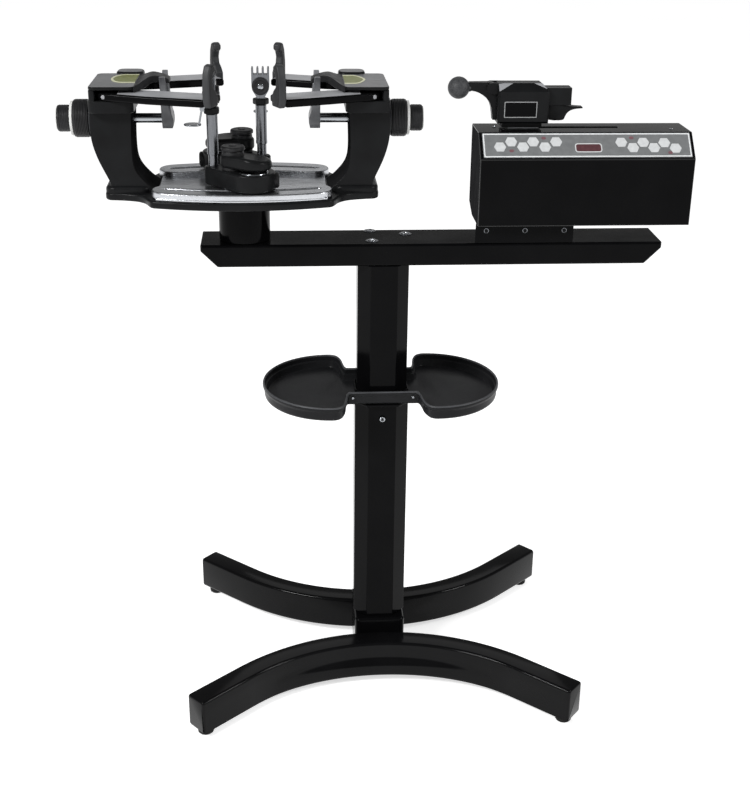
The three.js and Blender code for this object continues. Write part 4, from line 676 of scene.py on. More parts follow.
# %% [markdown]
# Each slot of the frame has its finish, and most solids go the same way: a copy, its edges
# rounded, its finish and its body. The column and the turntable's axis are the two places that
# nearly everything is measured from, and the turntable's left and right halves mirror each other.

# %% Finishes, ends and sides
finish_of_slot = {
    "gloss_black_paint": gloss_black_paint,
    "black_rubber": black_rubber,
    "black_tray_plastic": black_tray_plastic,
    "chromed_steel": chromed_steel,
    "chassis_steel": chassis_steel,
    "panel_film": panel_film,
    "black_moulded_plastic": black_moulded_plastic,
    "circuit_board_laminate": circuit_board_laminate,
    "black_casting": black_casting,
    "polished_aluminium": polished_aluminium,
    "grey_plastic": grey_plastic,
}


def refine(node, slot, edge_mm, segments=3):
    """A finished copy of a frame solid, with rounded edges."""
    piece = copy_of(node)
    round_edges(piece, edge_mm, segments)
    return dress(piece, finish_of_slot[slot], body_of_node(node), slot, node)


ends = ("front", "rear")
sides = {"left": -1, "right": 1}
corners = [end + "_" + side for end in ends for side in sides]
column_x = 10
turntable_x = -197


def span(side, near, far):
    """The lower and the higher X of a stretch, measured outwards from the turntable's axis."""
    return sorted(turntable_x + side * x for x in (near, far))


def on_turntable(outline, side=1):
    """An outline whose first numbers are measured outwards from the turntable's axis."""
    return [(turntable_x + side * x, y) for x, y in outline]


print("corners:", corners)

# %% [markdown]
# Each leg is a rectangular steel tube, bent to a wide arc and straight at both ends. Along the hollow
# side its wall flares out to a lip, widest at the middle. The section is drawn once at one end of
# the arc and spun round the arc's centre, its lip is then eased back towards the ends, and the
# open ends are drawn out straight and closed.

# %% Bend the two legs
leg_arc_radius = 330
leg_arc_angle = 42
leg_start_y = 68
leg_straight = 102.5
leg_half_width = 19
leg_low, leg_high = 13, 70
leg_corner = 5
leg_end_round = 4
lip_angle = 34
lip_flare = [(-10, 29), (-9.2, 33), (-6.8, 36.5), (-3.8, 39.5), (-1.4, 43), (-0.3, 46.5), (0, 50)]


def leg_section():
    """The closed section, as pairs of the distance across the leg and the height."""
    hollow = -leg_half_width
    lip = [Vector((hollow + out, height)) for out, height in lip_flare]
    return (
        arc((hollow - leg_corner, leg_low + leg_corner), leg_corner, 270, 180, 4)
        + smooth_curve(lip, 2)
        + arc((hollow + leg_corner, leg_high - leg_corner), leg_corner, 180, 90, 5)
        + arc((leg_half_width - leg_corner, leg_high - leg_corner), leg_corner, 90, 0, 5)
        + arc((leg_half_width - leg_corner, leg_low + leg_corner), leg_corner, 0, -90, 5)
    )


def make_leg(name, side):
    """A leg in front of the column for side -1, and behind it for side 1."""
    centre = Vector((column_x, side * (leg_start_y + leg_arc_radius)))
    start = math.radians(-leg_arc_angle)

    def place(angle, across, height):
        radius = leg_arc_radius + across
        return at(centre.x + radius * math.sin(angle), centre.y - side * radius * math.cos(angle), height)

    leg = loop_on(name, [place(start, across, height) for across, height in leg_section()], "NOTHING")
    edit(leg)
    bpy.ops.mesh.spin(
        steps=56, angle=-side * 2 * math.radians(leg_arc_angle),
        center=at(centre.x, centre.y, 0), axis=(0, 0, 1),
    )
    bpy.ops.object.mode_set(mode="OBJECT")
    for vertex in leg.data.vertices:
        x, y, height = vertex.co / millimetre
        across = math.hypot(x - centre.x, y - centre.y) - leg_arc_radius
        angle = math.atan2(x - centre.x, side * (centre.y - y))
        ease = math.cos(min(1, abs(angle) / math.radians(lip_angle)) * math.pi / 2)
        if across < -leg_half_width:
            vertex.co = place(angle, -leg_half_width + (across + leg_half_width) * ease, height)
    for way in (-1, 1):
        edit(leg)
        bpy.ops.mesh.select_all(action="DESELECT")
        mesh = bmesh.from_edit_mesh(leg.data)
        for edge in mesh.edges:
            middle = (edge.verts[0].co + edge.verts[1].co) / 2
            edge.select_set(edge.is_boundary and way * (middle.x / millimetre - column_x) > 0)
        bmesh.update_edit_mesh(leg.data)
        end = math.radians(leg_arc_angle)
        straight = leg_straight - leg_end_round
        reach = (way * straight * math.cos(end), side * straight * math.sin(end), 0)
        bpy.ops.mesh.extrude_edges_move(TRANSFORM_OT_translate={"value": at(*reach)})
        bpy.ops.mesh.edge_face_add()
        close_edit()
    edit(leg)
    bpy.ops.mesh.select_all(action="DESELECT")
    bpy.ops.mesh.select_mode(type="FACE")
    mesh = bmesh.from_edit_mesh(leg.data)
    for face in mesh.faces:
        face.select_set(len(face.verts) > 8)
    bmesh.update_edit_mesh(leg.data)
    turns = [math.radians(a) for a in (0, 30, 60, 90)]
    for first, last in zip(turns, turns[1:]):
        bpy.ops.mesh.inset(
            thickness=leg_end_round * (math.cos(first) - math.cos(last)) * millimetre,
            depth=leg_end_round * (math.sin(last) - math.sin(first)) * millimetre,
            use_even_offset=False,
        )
    bpy.ops.mesh.select_mode(type="VERT")
    close_edit()
    pick(leg)
    bpy.ops.object.shade_smooth_by_angle(angle=math.radians(40))
    return leg


for leg_name, side in (("front_leg", -1), ("rear_leg", 1)):
    leg = make_leg(leg_name + "_bent", side)
    dress(leg, thick_leg_paint, "stand", "gloss_black_paint", leg_name)
    print(leg.name, "faces:", len(leg.data.polygons))

# %% [markdown]
# The rest of the stand: rubber feet, the welded base block and the two columns. Their solids
# have the right shape already. The folded columns get the widest rounding, the cut block a
# narrow one.

# %% Finish the stand
for corner in corners:
    refine("foot_" + corner, "black_rubber", 1.2)
refine("column_base", "gloss_black_paint", 1.2)
refine("lower_column", "gloss_black_paint", 2.0)
refine("upper_column", "gloss_black_paint", 2.0)
print("stand finished")

# %% [markdown]
# The mast starts with the beam, which carries the turntable on the left and the tensioner on
# the right. The turntable's post is a plain turned tube. The tensioner's bracket is the frame's
# own, with its left end cut off at a slant by a bisecting plane.

# %% Finish the beam, the post and the bracket
refine("main_beam", "gloss_black_paint", 1.5)
post_low, post_high, post_radius = 738.3, 806.7, 38
post_profile = rod_profile(post_low, post_high, post_radius)
post = turned("turntable_post_tube", post_profile, (turntable_x, 0, 0), (0, 0, 1), 96)
round_edges(post, 1.2)
dress(post, gloss_black_paint, "mast", "gloss_black_paint", "turntable_post")

bracket_corner = at(144.2, -41, 750)
bracket_slant = Vector((-78, 17, 0)).normalized()
bracket = copy_of("console_bracket")
edit(bracket)
bpy.ops.mesh.bisect(plane_co=bracket_corner, plane_no=bracket_slant, use_fill=True, clear_outer=True)
close_edit()
round_edges(bracket, 0.8)
dress(bracket, gloss_black_paint, "mast", "gloss_black_paint", "console_bracket")
print("beam, post and bracket finished")

# %% [markdown]
# The housing is a folded sheet. Its two ends get the rough black, found by their normals, as
# painted shade, and its rolled edges get the lighter, glossier paint as a painted highlight. The
# faces along an edge are far smaller than any wall, so they are found by their area.

# %% Finish the housing and what it holds
shell = refine("console_shell", "gloss_black_paint", 1.8)
shell.data.materials.append(matt_textured_end_shade_paint)
shell.data.materials.append(painted_highlight_edge_paint)
widest_edge_face = 400 * millimetre ** 2
# small edge faces take the lighter paint as a painted highlight, the end faces the rough black as painted
# shade
for face in shell.data.polygons:
    if face.area < widest_edge_face:
        face.material_index = 2
    elif abs(face.normal.x) > 0.95:
        face.material_index = 1
for node, slot, edge_mm in (
    ("console_base_plate", "chassis_steel", 0.4), ("control_panel", "panel_film", 0.3),
    ("power_inlet", "black_moulded_plastic", 0.5), ("power_rocker", "black_moulded_plastic", 0.5),
    ("circuit_board", "circuit_board_laminate", 0.2), ("drive_motor", "chassis_steel", 0.6),
    ("guide_rod_front", "chassis_steel", 0.4), ("guide_rod_rear", "chassis_steel", 0.4),
    ("lead_screw", "chassis_steel", 0.4), ("carriage_block", "chassis_steel", 0.5),
):
    refine(node, slot, edge_mm)
refine("grip_lever", "black_casting", 1.6, segments=4)
print("housing finished")

# %% [markdown]
# The side arms are gloss black like the beam, but their upper faces are machined and left bright
# grey. A second material goes on the faces that look straight up, picked by their normals. The
# top plates have the same grey, a little darker, as a lacquer.

# %% Machined and lacquered faces
def make_grey_finish(name, dark, light, roughness):
    return make_finish(
        name, dark, light, drift=dict(size_mm=25, detail=4.0),
        grain=dict(size_mm=0.8, detail=2.0, stretch=(0.06, 1, 1)), relief_mm=0.008,
        roughness=(roughness, roughness + 0.12), by_grain=True, Specular_IOR_Level=0.3,
    )


machined_arm_face = make_grey_finish("machined_grey_casting_face", "#8d8e91", "#9c9da0", 0.35)
plate_lacquer = make_grey_finish("grey_plate_lacquer", "#5d5e60", "#69696b", 0.3)
# a lighter grey for the upward faces of the tray's rim: a painted highlight
rim_painted_highlight_grey = make_grey_finish("edge_worn_grey_acetal", "#3b3c3e", "#48494c", 0.4)
satin_hook_grey = make_grey_finish("satin_grey_hook", "#5c5d60", "#77787b", 0.3)
# the lighter grey of the claws' narrow edges is painted light
claw_edge_painted_light_grey = make_grey_finish("worn_acetal_claw_edge", "#2a2b2d", "#353638", 0.45)


def face_up(piece, material, reach=1.0):
    """Gives the faces that look straight up, within a reach of the turntable's axis, a material."""
    piece.data.materials.append(material)
    for face in piece.data.polygons:
        if face.normal.z > 0.97 and abs(face.center.x - turntable_x * millimetre) < reach:
            face.material_index = 1


print("made", machined_arm_face.name, "and", plate_lacquer.name)

# %% [markdown]
# The bright face of an arm ends a little before the tower, so the arm is cut there along a plane
# that keeps both sides, and only the faces within reach of the turntable's axis turn grey. A
# small stud marks the pivot of each arm, on the side that looks out.

# %% Finish the side arms
arm_face_end = 168
stud_x, stud_y, stud_z = 188, 59, 957
stud_profile = [(-2, 0), (-2, 3), (0.6, 3), (1.2, 2.2), (1.4, 0)]

for corner in corners:
    side = -1 if corner.endswith("left") else 1
    front = -1 if corner.startswith("front") else 1
    arm = refine("side_arm_" + corner, "black_casting", 1.4, segments=4)
    arm.data.materials[0] = gloss_black_paint
    edit(arm)
    bpy.ops.mesh.bisect(plane_co=at(turntable_x + side * arm_face_end, 0, 0), plane_no=(1, 0, 0))
    bpy.ops.object.mode_set(mode="OBJECT")
    face_up(arm, machined_arm_face, arm_face_end * millimetre)
    stud_place = (turntable_x + side * stud_x, front * stud_y, stud_z)
    stud = turned("arm_stud_" + corner, stud_profile, stud_place, (0, front, 0), 32)
    round_edges(stud, 0.3, segments=2)
    dress(stud, machined_arm_face, "side_arm_" + corner, "black_casting")
print("arms finished")

# %% [markdown]
# The four claws do the gripping. Their broad sides are dark, and their narrow edges get a
# lighter grey than the broad sides, as painted light. The broad sides are found as the faces that
# point along the same line as the largest one.

# %% Finish the claws
for corner in corners:
    claw = refine("claw_" + corner, "grey_plastic", 2.6, segments=5)
    claw.data.materials[0] = black_moulded_plastic
    # every face but the broad sides gets the lighter grey: painted light
    claw.data.materials.append(claw_edge_painted_light_grey)
    broad = max(claw.data.polygons, key=lambda face: face.area).normal.copy()
    for face in claw.data.polygons:
        face.material_index = 0 if abs(face.normal.dot(broad)) > 0.8 else 1
print("claws finished")

# %% [markdown]
# The base is one casting: a long plate whose sides bulge a little, with an S-shaped neck at each
# end to a pad for the tower. Its outline needs the bulge as a formula and the neck as a smooth
# curve through a few places. A quarter of it is enough, mirrored twice. The pads stand a little
# above the plate, and the spindle below it turns in the post.

# %% Cast the turntable base
base_low, base_thickness = 807, 11
base_half_depth, base_bulge, bulge_end = 88, 22, 134
neck_start = 124
neck_bends = [
    (128.5, 88), (132.5, 80), (136.5, 70), (142, 61.5), (150, 54), (160, 49.5), (172, 46), (185, 44),
]
pad_corner, pad_corner_radius = (185, 32), 12
pad_near, pad_far, pad_half_depth = 131, 196.5, 43
pad_low, pad_height = 807.5, 19.5
spindle_low, spindle_high, spindle_radius = 765.3, 808, 25


def side_of_base(x):
    """Half the depth of the turntable base at a place along it."""
    return base_half_depth + base_bulge * (1 - (x / bulge_end) ** 2)


def base_quarter(steps=24):
    """The outline from the middle of a long side to the end of a pad."""
    bulge = [Vector((x, side_of_base(x))) for x in (neck_start * step / steps for step in range(steps))]
    neck = [(neck_start, side_of_base(neck_start))] + neck_bends
    return bulge + smooth_curve(neck, 4) + arc(pad_corner, pad_corner_radius, 90, 0, 8)


def mirrored_twice(quarter):
    """The whole outline from a quarter that starts at the middle of a long side."""
    return (
        [(x, y) for x, y in quarter] + [(x, -y) for x, y in reversed(quarter)]
        + [(-x, -y) for x, y in quarter[1:]] + [(-x, y) for x, y in reversed(quarter[1:])]
    )


base = plate("base_casting", on_turntable(mirrored_twice(base_quarter())), base_low, base_thickness)
round_edges(base, 3, segments=5, from_angle=50)
dress(base, black_casting, "turntable", "black_casting", "turntable_base")
for side_name, side in sides.items():
    pad_outline = rounded_rectangle(*span(side, pad_near, pad_far), -pad_half_depth, pad_half_depth, 14, 10)
    pad = round_edges(plate("tower_pad_" + side_name, pad_outline, pad_low, pad_height), 5, segments=6)
    dress(pad, black_casting, "turntable", "black_casting")
spindle_profile = rod_profile(spindle_low, spindle_high, spindle_radius)
spindle = round_edges(turned("turntable_spindle", spindle_profile, (turntable_x, 0, 0), (0, 0, 1)), 1)
dress(spindle, black_casting, "turntable", "black_casting")
print(base.name, "faces:", len(base.data.polygons))

# %% [markdown]
# The rail plate is milled from one slab: a flat floor with two raised, curved rails, each with a
# slot along its middle that the clamps run in. The floor is an outline plate. A rail starts as
# two loops, its rim and its slot, that are bridged to a ring and drawn down to the floor. A black
# strip lies deep in each slot: partly the black casting that a slot cut right through shows,
# partly painted shade.

# %% Mill the rail plate
rail_arc_radius = 410
rail_offset = 78
rail_floor_low, rail_floor_high, rail_top = 818.3, 821.3, 829
floor_half_length, floor_margin, floor_steps = 121, 4, 24
rim_half_width, rim_half_length = 27, 128
slot_half_width, slot_half_length = 4, 112
bed_clearance, bed_lift, bed_thickness = 0.1, 0.2, 3.4


def rail_loop(side, half_width, half_length, steps=48):
    """The outline of a curved band with round ends, on the rail's arc."""
    centre_y = side * (rail_offset - rail_arc_radius)
    half_sweep = math.degrees(math.asin((half_length - half_width) / rail_arc_radius))
    start, end = side * 90 - half_sweep, side * 90 + half_sweep

    def end_centre(angle):
        turn = math.radians(angle)
        return (rail_arc_radius * math.cos(turn), centre_y + rail_arc_radius * math.sin(turn))

    outline = arc((0, centre_y), rail_arc_radius + half_width, start, end, steps)
    outline += arc(end_centre(end), half_width, end, end + 180, 16)[1:-1]
    outline += arc((0, centre_y), rail_arc_radius - half_width, end, start, steps)
    outline += arc(end_centre(start), half_width, start + 180, start + 360, 16)[1:-1]
    return on_turntable(outline)


floor_quarter = [
    (x, side_of_base(x) - floor_margin)
    for x in (floor_half_length * step / floor_steps for step in range(floor_steps + 1))
]
rail_floor = plate(
    "rail_plate_floor", on_turntable(mirrored_twice(floor_quarter)),
    rail_floor_low, rail_floor_high - rail_floor_low,
)
round_edges(rail_floor, 0.8)
dress(rail_floor, polished_aluminium, "turntable", "polished_aluminium", "rail_plate")
for rail_name, side in (("rail_front", -1), ("rail_rear", 1)):
    rim = raised(rail_loop(side, rim_half_width, rim_half_length), rail_top)
    slot = raised(rail_loop(side, slot_half_width, slot_half_length), rail_top)
    rail = ring_between(rail_name, rim, slot, (0, 0, rail_floor_low - rail_top))
    round_edges(rail, 2, segments=4, from_angle=50)
    dress(rail, polished_aluminium, "turntable", "polished_aluminium", "rail_plate")
    print(rail.name, "faces:", len(rail.data.polygons))
    # a black strip deep in the slot: partly the casting below, partly painted shade
    bed_outline = rail_loop(side, slot_half_width - bed_clearance, slot_half_length - bed_clearance)
    bed = plate(rail_name + "_slot_shade_strip", bed_outline, rail_floor_low + bed_lift, bed_thickness)
    dress(bed, black_rubber, "turntable", "black_casting")

# %% [markdown]
# The towers are castings that swell from a narrow foot to a broad shoulder and spread again into
# the base. Their front outline is two smooth curves, each through a few places measured from the
# turntable's axis. It is drawn through its depth, and its rims get the casting's big radius. A
# flange, a rib and a wall on top carry the side arms and the top plate.

# %% Cast the towers
tower_low = 817
tower_half_depth = 38
outer_curve = [(188, 827.3), (190, 834.7), (204.8, 868), (212, 899), (211, 938.6), (209.6, 951)]
inner_curve = [
    (123.5, 819.6), (129, 823.4), (135, 828.2), (141.5, 834.8), (147.5, 842), (152, 850), (154.6, 860),
    (155.5, 876), (155, 900), (153.6, 928), (150.5, 951),
]
# name, inner and outer edge, half depth, corner, foot, height, width of the rounding, its segments
tower_tops = (
    ("tower_flange_", 148, 212, 58, 12, 934, 17, 1.5, 4),
    ("tower_rib_", 146, 200, 16, 3, 950, 15.8, 1.5, 3),
    ("tower_wall_", 200, 209, 57, 4, 950, 15.8, 1, 3),
)


def make_tower(name, side):
    outer, inner = (smooth_curve(on_turntable(curve, side), 5) for curve in (outer_curve, inner_curve))
    foot = [(x, tower_low) for x, height in on_turntable((inner_curve[0], outer_curve[0]), side)]
    tower = plate(name, foot + outer + inner[::-1], -tower_half_depth, 2 * tower_half_depth, "XZ")
    return round_edges(tower, 6, segments=6, from_angle=50)


for side_name, side in sides.items():
    tower = make_tower("tower_casting_" + side_name, side)
    dress(tower, black_casting, "turntable", "black_casting", "tower_" + side_name)
    # the faces that look in towards the axis get the rough black without gloss, as painted shade
    tower.data.materials.append(casting_wall_in_painted_shade)
    for face in tower.data.polygons:
        if face.normal.x * side < -0.5:
            face.material_index = 1
    for name, near, far, half_depth, corner, low, height, edge_mm, segments in tower_tops:
        outline = rounded_rectangle(*span(side, near, far), -half_depth, half_depth, corner)
        top = round_edges(plate(name + side_name, outline, low, height), edge_mm, segments)
        dress(top, black_casting, "turntable", "black_casting")
    print(tower.name, "faces:", len(tower.data.polygons))

# %% [markdown]
# The knobs are turned pieces. Each rim carries fine ribs that run round it, and thin white
# nylon washers part the two knobs and close the end of the small one. Lengths along the profiles
# are measured from the turntable's axis, so one set serves both sides.

# %% Turn the knobs and their washers
white_nylon = make_finish(
    "white_nylon_washer", "#d9d9d7", "#e4e4e2", drift=dict(size_mm=10), roughness=0.4,
)


def ribbed_rim(start, end, radius, ribs, depth, corner):
    """The profile of a knob's rim: ribs that run round it, between two rounded shoulders."""
    low, high = start + corner, end - corner
    pitch = (high - low) / ribs
    bend = corner * 0.3
    profile = [(start, radius - corner), (start + bend, radius - bend)]
    for rib in range(ribs):
        left = low + rib * pitch
        profile += [(left, radius - depth), (left + pitch * 0.22, radius), (left + pitch * 0.78, radius)]
    return profile + [(high, radius - depth), (end - bend, radius - bend), (end, radius - corner)]


shaft_z = 917
large_knob_profile = (
    [(192, 4.5), (192, 12), (216, 12)] + ribbed_rim(216, 238, 27, ribs=8, depth=0.7, corner=2.2)
    + [(238, 18), (236.5, 16), (236.5, 4.5)]
)
small_knob_profile = (
    [(150, 0), (150, 4), (238.3, 4), (238.3, 12), (243.5, 12)]
    + ribbed_rim(243.5, 261.5, 19, ribs=6, depth=0.6, corner=2) + [(261.5, 15), (261.5, 0)]
)
collar_profile = [(211, 13), (211, 25), (215.4, 25.6), (215.7, 24), (215.7, 13)]
washer_edge = 0.4
# name, start, end, radius, hole
washers = (("knob_washer_", 238.6, 242.4, 24.5, 12.2), ("end_ring_", 261.4, 262.9, 16.5, 13.6))

for side_name, side in sides.items():
    foot = (turntable_x, 0, shaft_z)
    axis = (side, 0, 0)
    large = round_edges(turned("large_knob_" + side_name, large_knob_profile, foot, axis), 0.3, segments=2)
    knob_node = "side_arm_knob_" + side_name
    dress(large, black_moulded_plastic, knob_node, "black_moulded_plastic", knob_node)
    collar = round_edges(turned("tower_collar_" + side_name, collar_profile, foot, axis), 0.5)
    dress(collar, grey_plastic, "turntable", "grey_plastic")
    small = round_edges(turned("small_knob_" + side_name, small_knob_profile, foot, axis), 0.3, segments=2)
    knob_node = "hook_knob_" + side_name
    dress(small, black_moulded_plastic, knob_node, "black_moulded_plastic", knob_node)
    for name, start, end, radius, hole in washers:
        profile = [
            (start, hole), (start, radius - washer_edge), (start + washer_edge, radius),
            (end - washer_edge, radius), (end, radius - washer_edge), (end, hole),
        ]
        washer = round_edges(turned(name + side_name, profile, foot, axis), 0.2, segments=2)
        dress(washer, white_nylon, knob_node, "grey_plastic")
print("knobs turned")

# %% [markdown]
# A nose support reaches inwards from each top plate: a thin arched moulding, nearly as wide as the
# plate at its root, that narrows to a quarter of that at its tip. Its side outline is drawn
# through the full depth first, and its vertices are then drawn in towards the tip.

# %% Shape of a nose support
nose_curve = [
    (147, 970.6), (140, 972.8), (133, 976.4), (126, 979.3), (118, 979.6), (109, 977.6), (101, 974.5),
]
nose_under = [
    (100, 968), (108, 969.5), (117, 970.8), (125, 969.5), (131, 966.2), (138, 963.4), (147, 962.8),
]
nose_half_depth = 56
narrow_until, wide_from = 112, 146
narrow_share = 0.25


def make_nose(side_name, side):
    outline = on_turntable(smooth_curve(nose_curve, 4) + smooth_curve(nose_under, 4), side)
    nose = plate("nose_" + side_name, outline, -nose_half_depth, 2 * nose_half_depth, "XZ")
    for vertex in nose.data.vertices:
        out = abs(vertex.co.x / millimetre - turntable_x) - narrow_until
        along = min(1, max(0, out / (wide_from - narrow_until)))
        vertex.co.y *= narrow_share + (1 - narrow_share) * along ** 1.6
    round_edges(nose, 2, segments=4, from_angle=50)
    dress(nose, black_moulded_plastic, "turntable", "black_moulded_plastic", "nose_support_" + side_name)


print("nose outline has", len(nose_curve) + len(nose_under), "places")

# %% [markdown]
# A top plate closes each tower. It is a lacquered plate with rounded corners that carries a plain
# inlaid badge, a pale rim round a darker field: one is round at its end, the other pointed. Behind
# it a low hump covers the pivot of the rear arm.

# %% Lay the top plates
def make_badge_lacquer(name, dark, light):
    return make_finish(name, dark, light, drift=dict(size_mm=5, detail=4.0), roughness=0.4, Metallic=0.2)


badge_rim_lacquer = make_badge_lacquer("pale_olive_badge_rim", "#c9caa6", "#d6d7b8")
badge_field_lacquer = make_badge_lacquer("olive_badge_field", "#686d34", "#7d8245")
plate_low, plate_top = 966.1, 970.8
inlay_low = plate_top - 0.1
tongue_start, tongue_half_depth = 147.5, 37
rim_width, field_gap = 3.2, 4
rim_height, field_height = 0.45, 0.35
# shape of the end, middle, tip and shoulder of each side's badge
badges = {"left": ("round", 12.5, 184, 164), "right": ("pointed", 4.5, 179, 161)}


def tongue(middle_y, end, tip, shoulder, half_depth, steps=16):
    """A tongue from the plate's inner edge, with a round end, or one that is drawn to a point."""
    sharp = tip - shoulder
    power = 1.0 if end == "round" else 1.6
    quarter = [
        Vector((shoulder + sharp * math.sin(a), half_depth * math.cos(a) ** power))
        for a in (math.pi / 2 * step / steps for step in range(steps + 1))
    ]
    upper = [Vector((tongue_start, half_depth))] + quarter
    lower = [Vector((p.x, -p.y)) for p in reversed(upper[:-1])]
    return [(p.x, middle_y + p.y) for p in upper + lower]


for side_name, side in sides.items():
    outline = rounded_rectangle(*span(side, 146, 209), -60, 60, 9, 10)
    lid = plate("top_plate_lid_" + side_name, outline, plate_low, plate_top - plate_low)
    round_edges(lid, 1.4, segments=4)
    dress(lid, black_casting, "turntable", "black_casting", "top_plate_" + side_name)
    face_up(lid, plate_lacquer)
    end, middle_y, tip, shoulder = badges[side_name]
    outer, inner, middle = (
        on_turntable(tongue(middle_y, end, tip - inset, shoulder, tongue_half_depth - 2 * inset), side)
        for inset in (0, rim_width, field_gap)
    )
    outer, inner = raised(outer, inlay_low), raised(inner, inlay_low)
    rim = ring_between("badge_rim_" + side_name, outer, inner, (0, 0, rim_height))
    dress(rim, badge_rim_lacquer, "turntable", "black_casting")
    field = plate("badge_field_" + side_name, middle, inlay_low, field_height)
    dress(field, badge_field_lacquer, "turntable", "black_casting")
    outline = rounded_rectangle(*span(side, 142, 182), 48, 84, 12, 8)
    hump = plate("pivot_cover_" + side_name, outline, 963.2, 11)
    round_edges(hump, 4, segments=5, from_angle=50)
    dress(hump, black_casting, "turntable", "black_casting")
    face_up(hump, plate_lacquer)
    make_nose(side_name, side)
outline = rounded_rectangle(turntable_x + 179, turntable_x + 208, 3.9, 5.1, 0.4)
joint_line = plate("plate_joint_line", outline, inlay_low, 0.3)
dress(joint_line, machined_arm_face, "turntable", "black_casting")
print("top plates laid")

# %% [markdown]
# There are two centre hooks, one on each side: a flat yoke of grey plastic on a ground steel
# shaft. The yoke is a mirrored outline, drawn through its thickness. Its inner face then leans in
# towards the top and is hollowed above its foot.

# %% Make the centre hooks
# shares of half the yoke's width and of its height
hook_outer = [
    (0.45, 0), (0.55, 0.06), (0.62, 0.14), (0.85, 0.32), (1, 0.5), (1.02, 0.68), (1.15, 0.86), (1.4, 1),
]
hook_inner = [(1.12, 1), (0.86, 0.86), (0.68, 0.74), (0.66, 0.58), (0.56, 0.47), (0.3, 0.42)]
hook_half_width, hook_low, hook_high = 24, 904, 980
hook_x, hook_thickness = 107, 12
hook_lean, hook_hollow = 4, 5
hollow_rise, hollow_spread = 0.16, 0.2
hook_shaft_profile = [(112, 0), (112, 7), (179, 7), (180, 6), (180, 4.3), (150, 4.3), (150, 0)]


def hook_curve(shares):
    """A smooth stretch of the yoke's outline."""
    height = hook_high - hook_low
    return smooth_curve([(across * hook_half_width, hook_low + up * height) for across, up in shares], 4)


for side_name, side in sides.items():
    right_half = hook_curve(hook_outer) + hook_curve(hook_inner)
    outline = right_half + [Vector((-p.x, p.y)) for p in reversed(right_half)]
    middle_x = turntable_x + side * hook_x
    yoke = plate("hook_yoke_" + side_name, outline, middle_x - hook_thickness / 2, hook_thickness, "YZ")
    for vertex in yoke.data.vertices:
        rise = (vertex.co.z / millimetre - hook_low) / (hook_high - hook_low)
        if (middle_x - vertex.co.x / millimetre) * side > 0:
            hollow = hook_hollow * math.exp(-((rise - hollow_rise) / hollow_spread) ** 2)
            vertex.co.x += side * (hook_lean * rise - hollow) * millimetre
    round_edges(yoke, 2.2, segments=4, from_angle=50)
    hook_node = "center_hook_" + side_name
    dress(yoke, satin_hook_grey, hook_node, "grey_plastic", hook_node)
    foot = (turntable_x, 0, shaft_z)
    shaft = turned("hook_shaft_" + side_name, hook_shaft_profile, foot, (side, 0, 0), 48)
    dress(round_edges(shaft, 0.4, segments=2), chromed_steel, hook_node, "grey_plastic")
print("hooks made")

# %% [markdown]
# The two string clamps are alike. Each is modelled as it stands on the front rail, and the rear
# one is then turned half a turn and slid 15 mm along its rail. The base is a belt outline round
# its lobe and the post's socket; on it lie a steel ring and a lever with a knob.

# %% Build the clamp bases and lock levers
clamp_slide = 15
clamp_low, clamp_top = 829.3, 855.3
lobe, socket, lever_axis = (15, -70), (-41, -35), (-12, -58)
key_y = -77.7
ring_profile = [(855, 17.5), (856.6, 18), (857.2, 19.2), (856.6, 20.4), (855, 21)]
ring_middle = (17, -78)
screw_z = 842.3
side_screw_profile = [(40, 0), (40, 11), (50.6, 11), (52.3, 9.4), (53, 7), (53, 3.2), (51, 2.6), (51, 0)]
clamp_knob_profile = [
    (855.6, 0), (855.6, 15.6), (881, 15.6), (881.6, 14.6), (882.6, 14.6), (883, 16.2), (884, 17.2),
    (887.5, 17.2), (888.9, 16), (889.6, 13.5), (888.8, 12.6), (889, 6), (890, 5), (890.4, 0),
]
wing_low, wing_height = 859, 19
slope_above, slope_from, slope_share = 870, 2, 0.13
upright = (0, 0, 1)


def clamp_turn_and_place(end):
    """The turn about the turntable's axis and the place of a clamp, seen from the front one."""
    if end == "front":
        return 0, at(turntable_x, 0, 0)
    slide = clamp_slide / rail_arc_radius
    centre = Vector((0, rail_offset - rail_arc_radius))
    shift = centre - Vector((-centre.y * math.sin(slide), centre.y * math.cos(slide)))
    return math.pi + slide, at(turntable_x + shift.x, shift.y, 0)


def settle(piece, turn, place):
    """Turns and places a piece, and keeps both in its mesh."""
    piece.rotation_euler.z = turn
    piece.location = place
    pick(piece)
    bpy.ops.object.transform_apply(location=True, rotation=True, scale=True)
    return piece


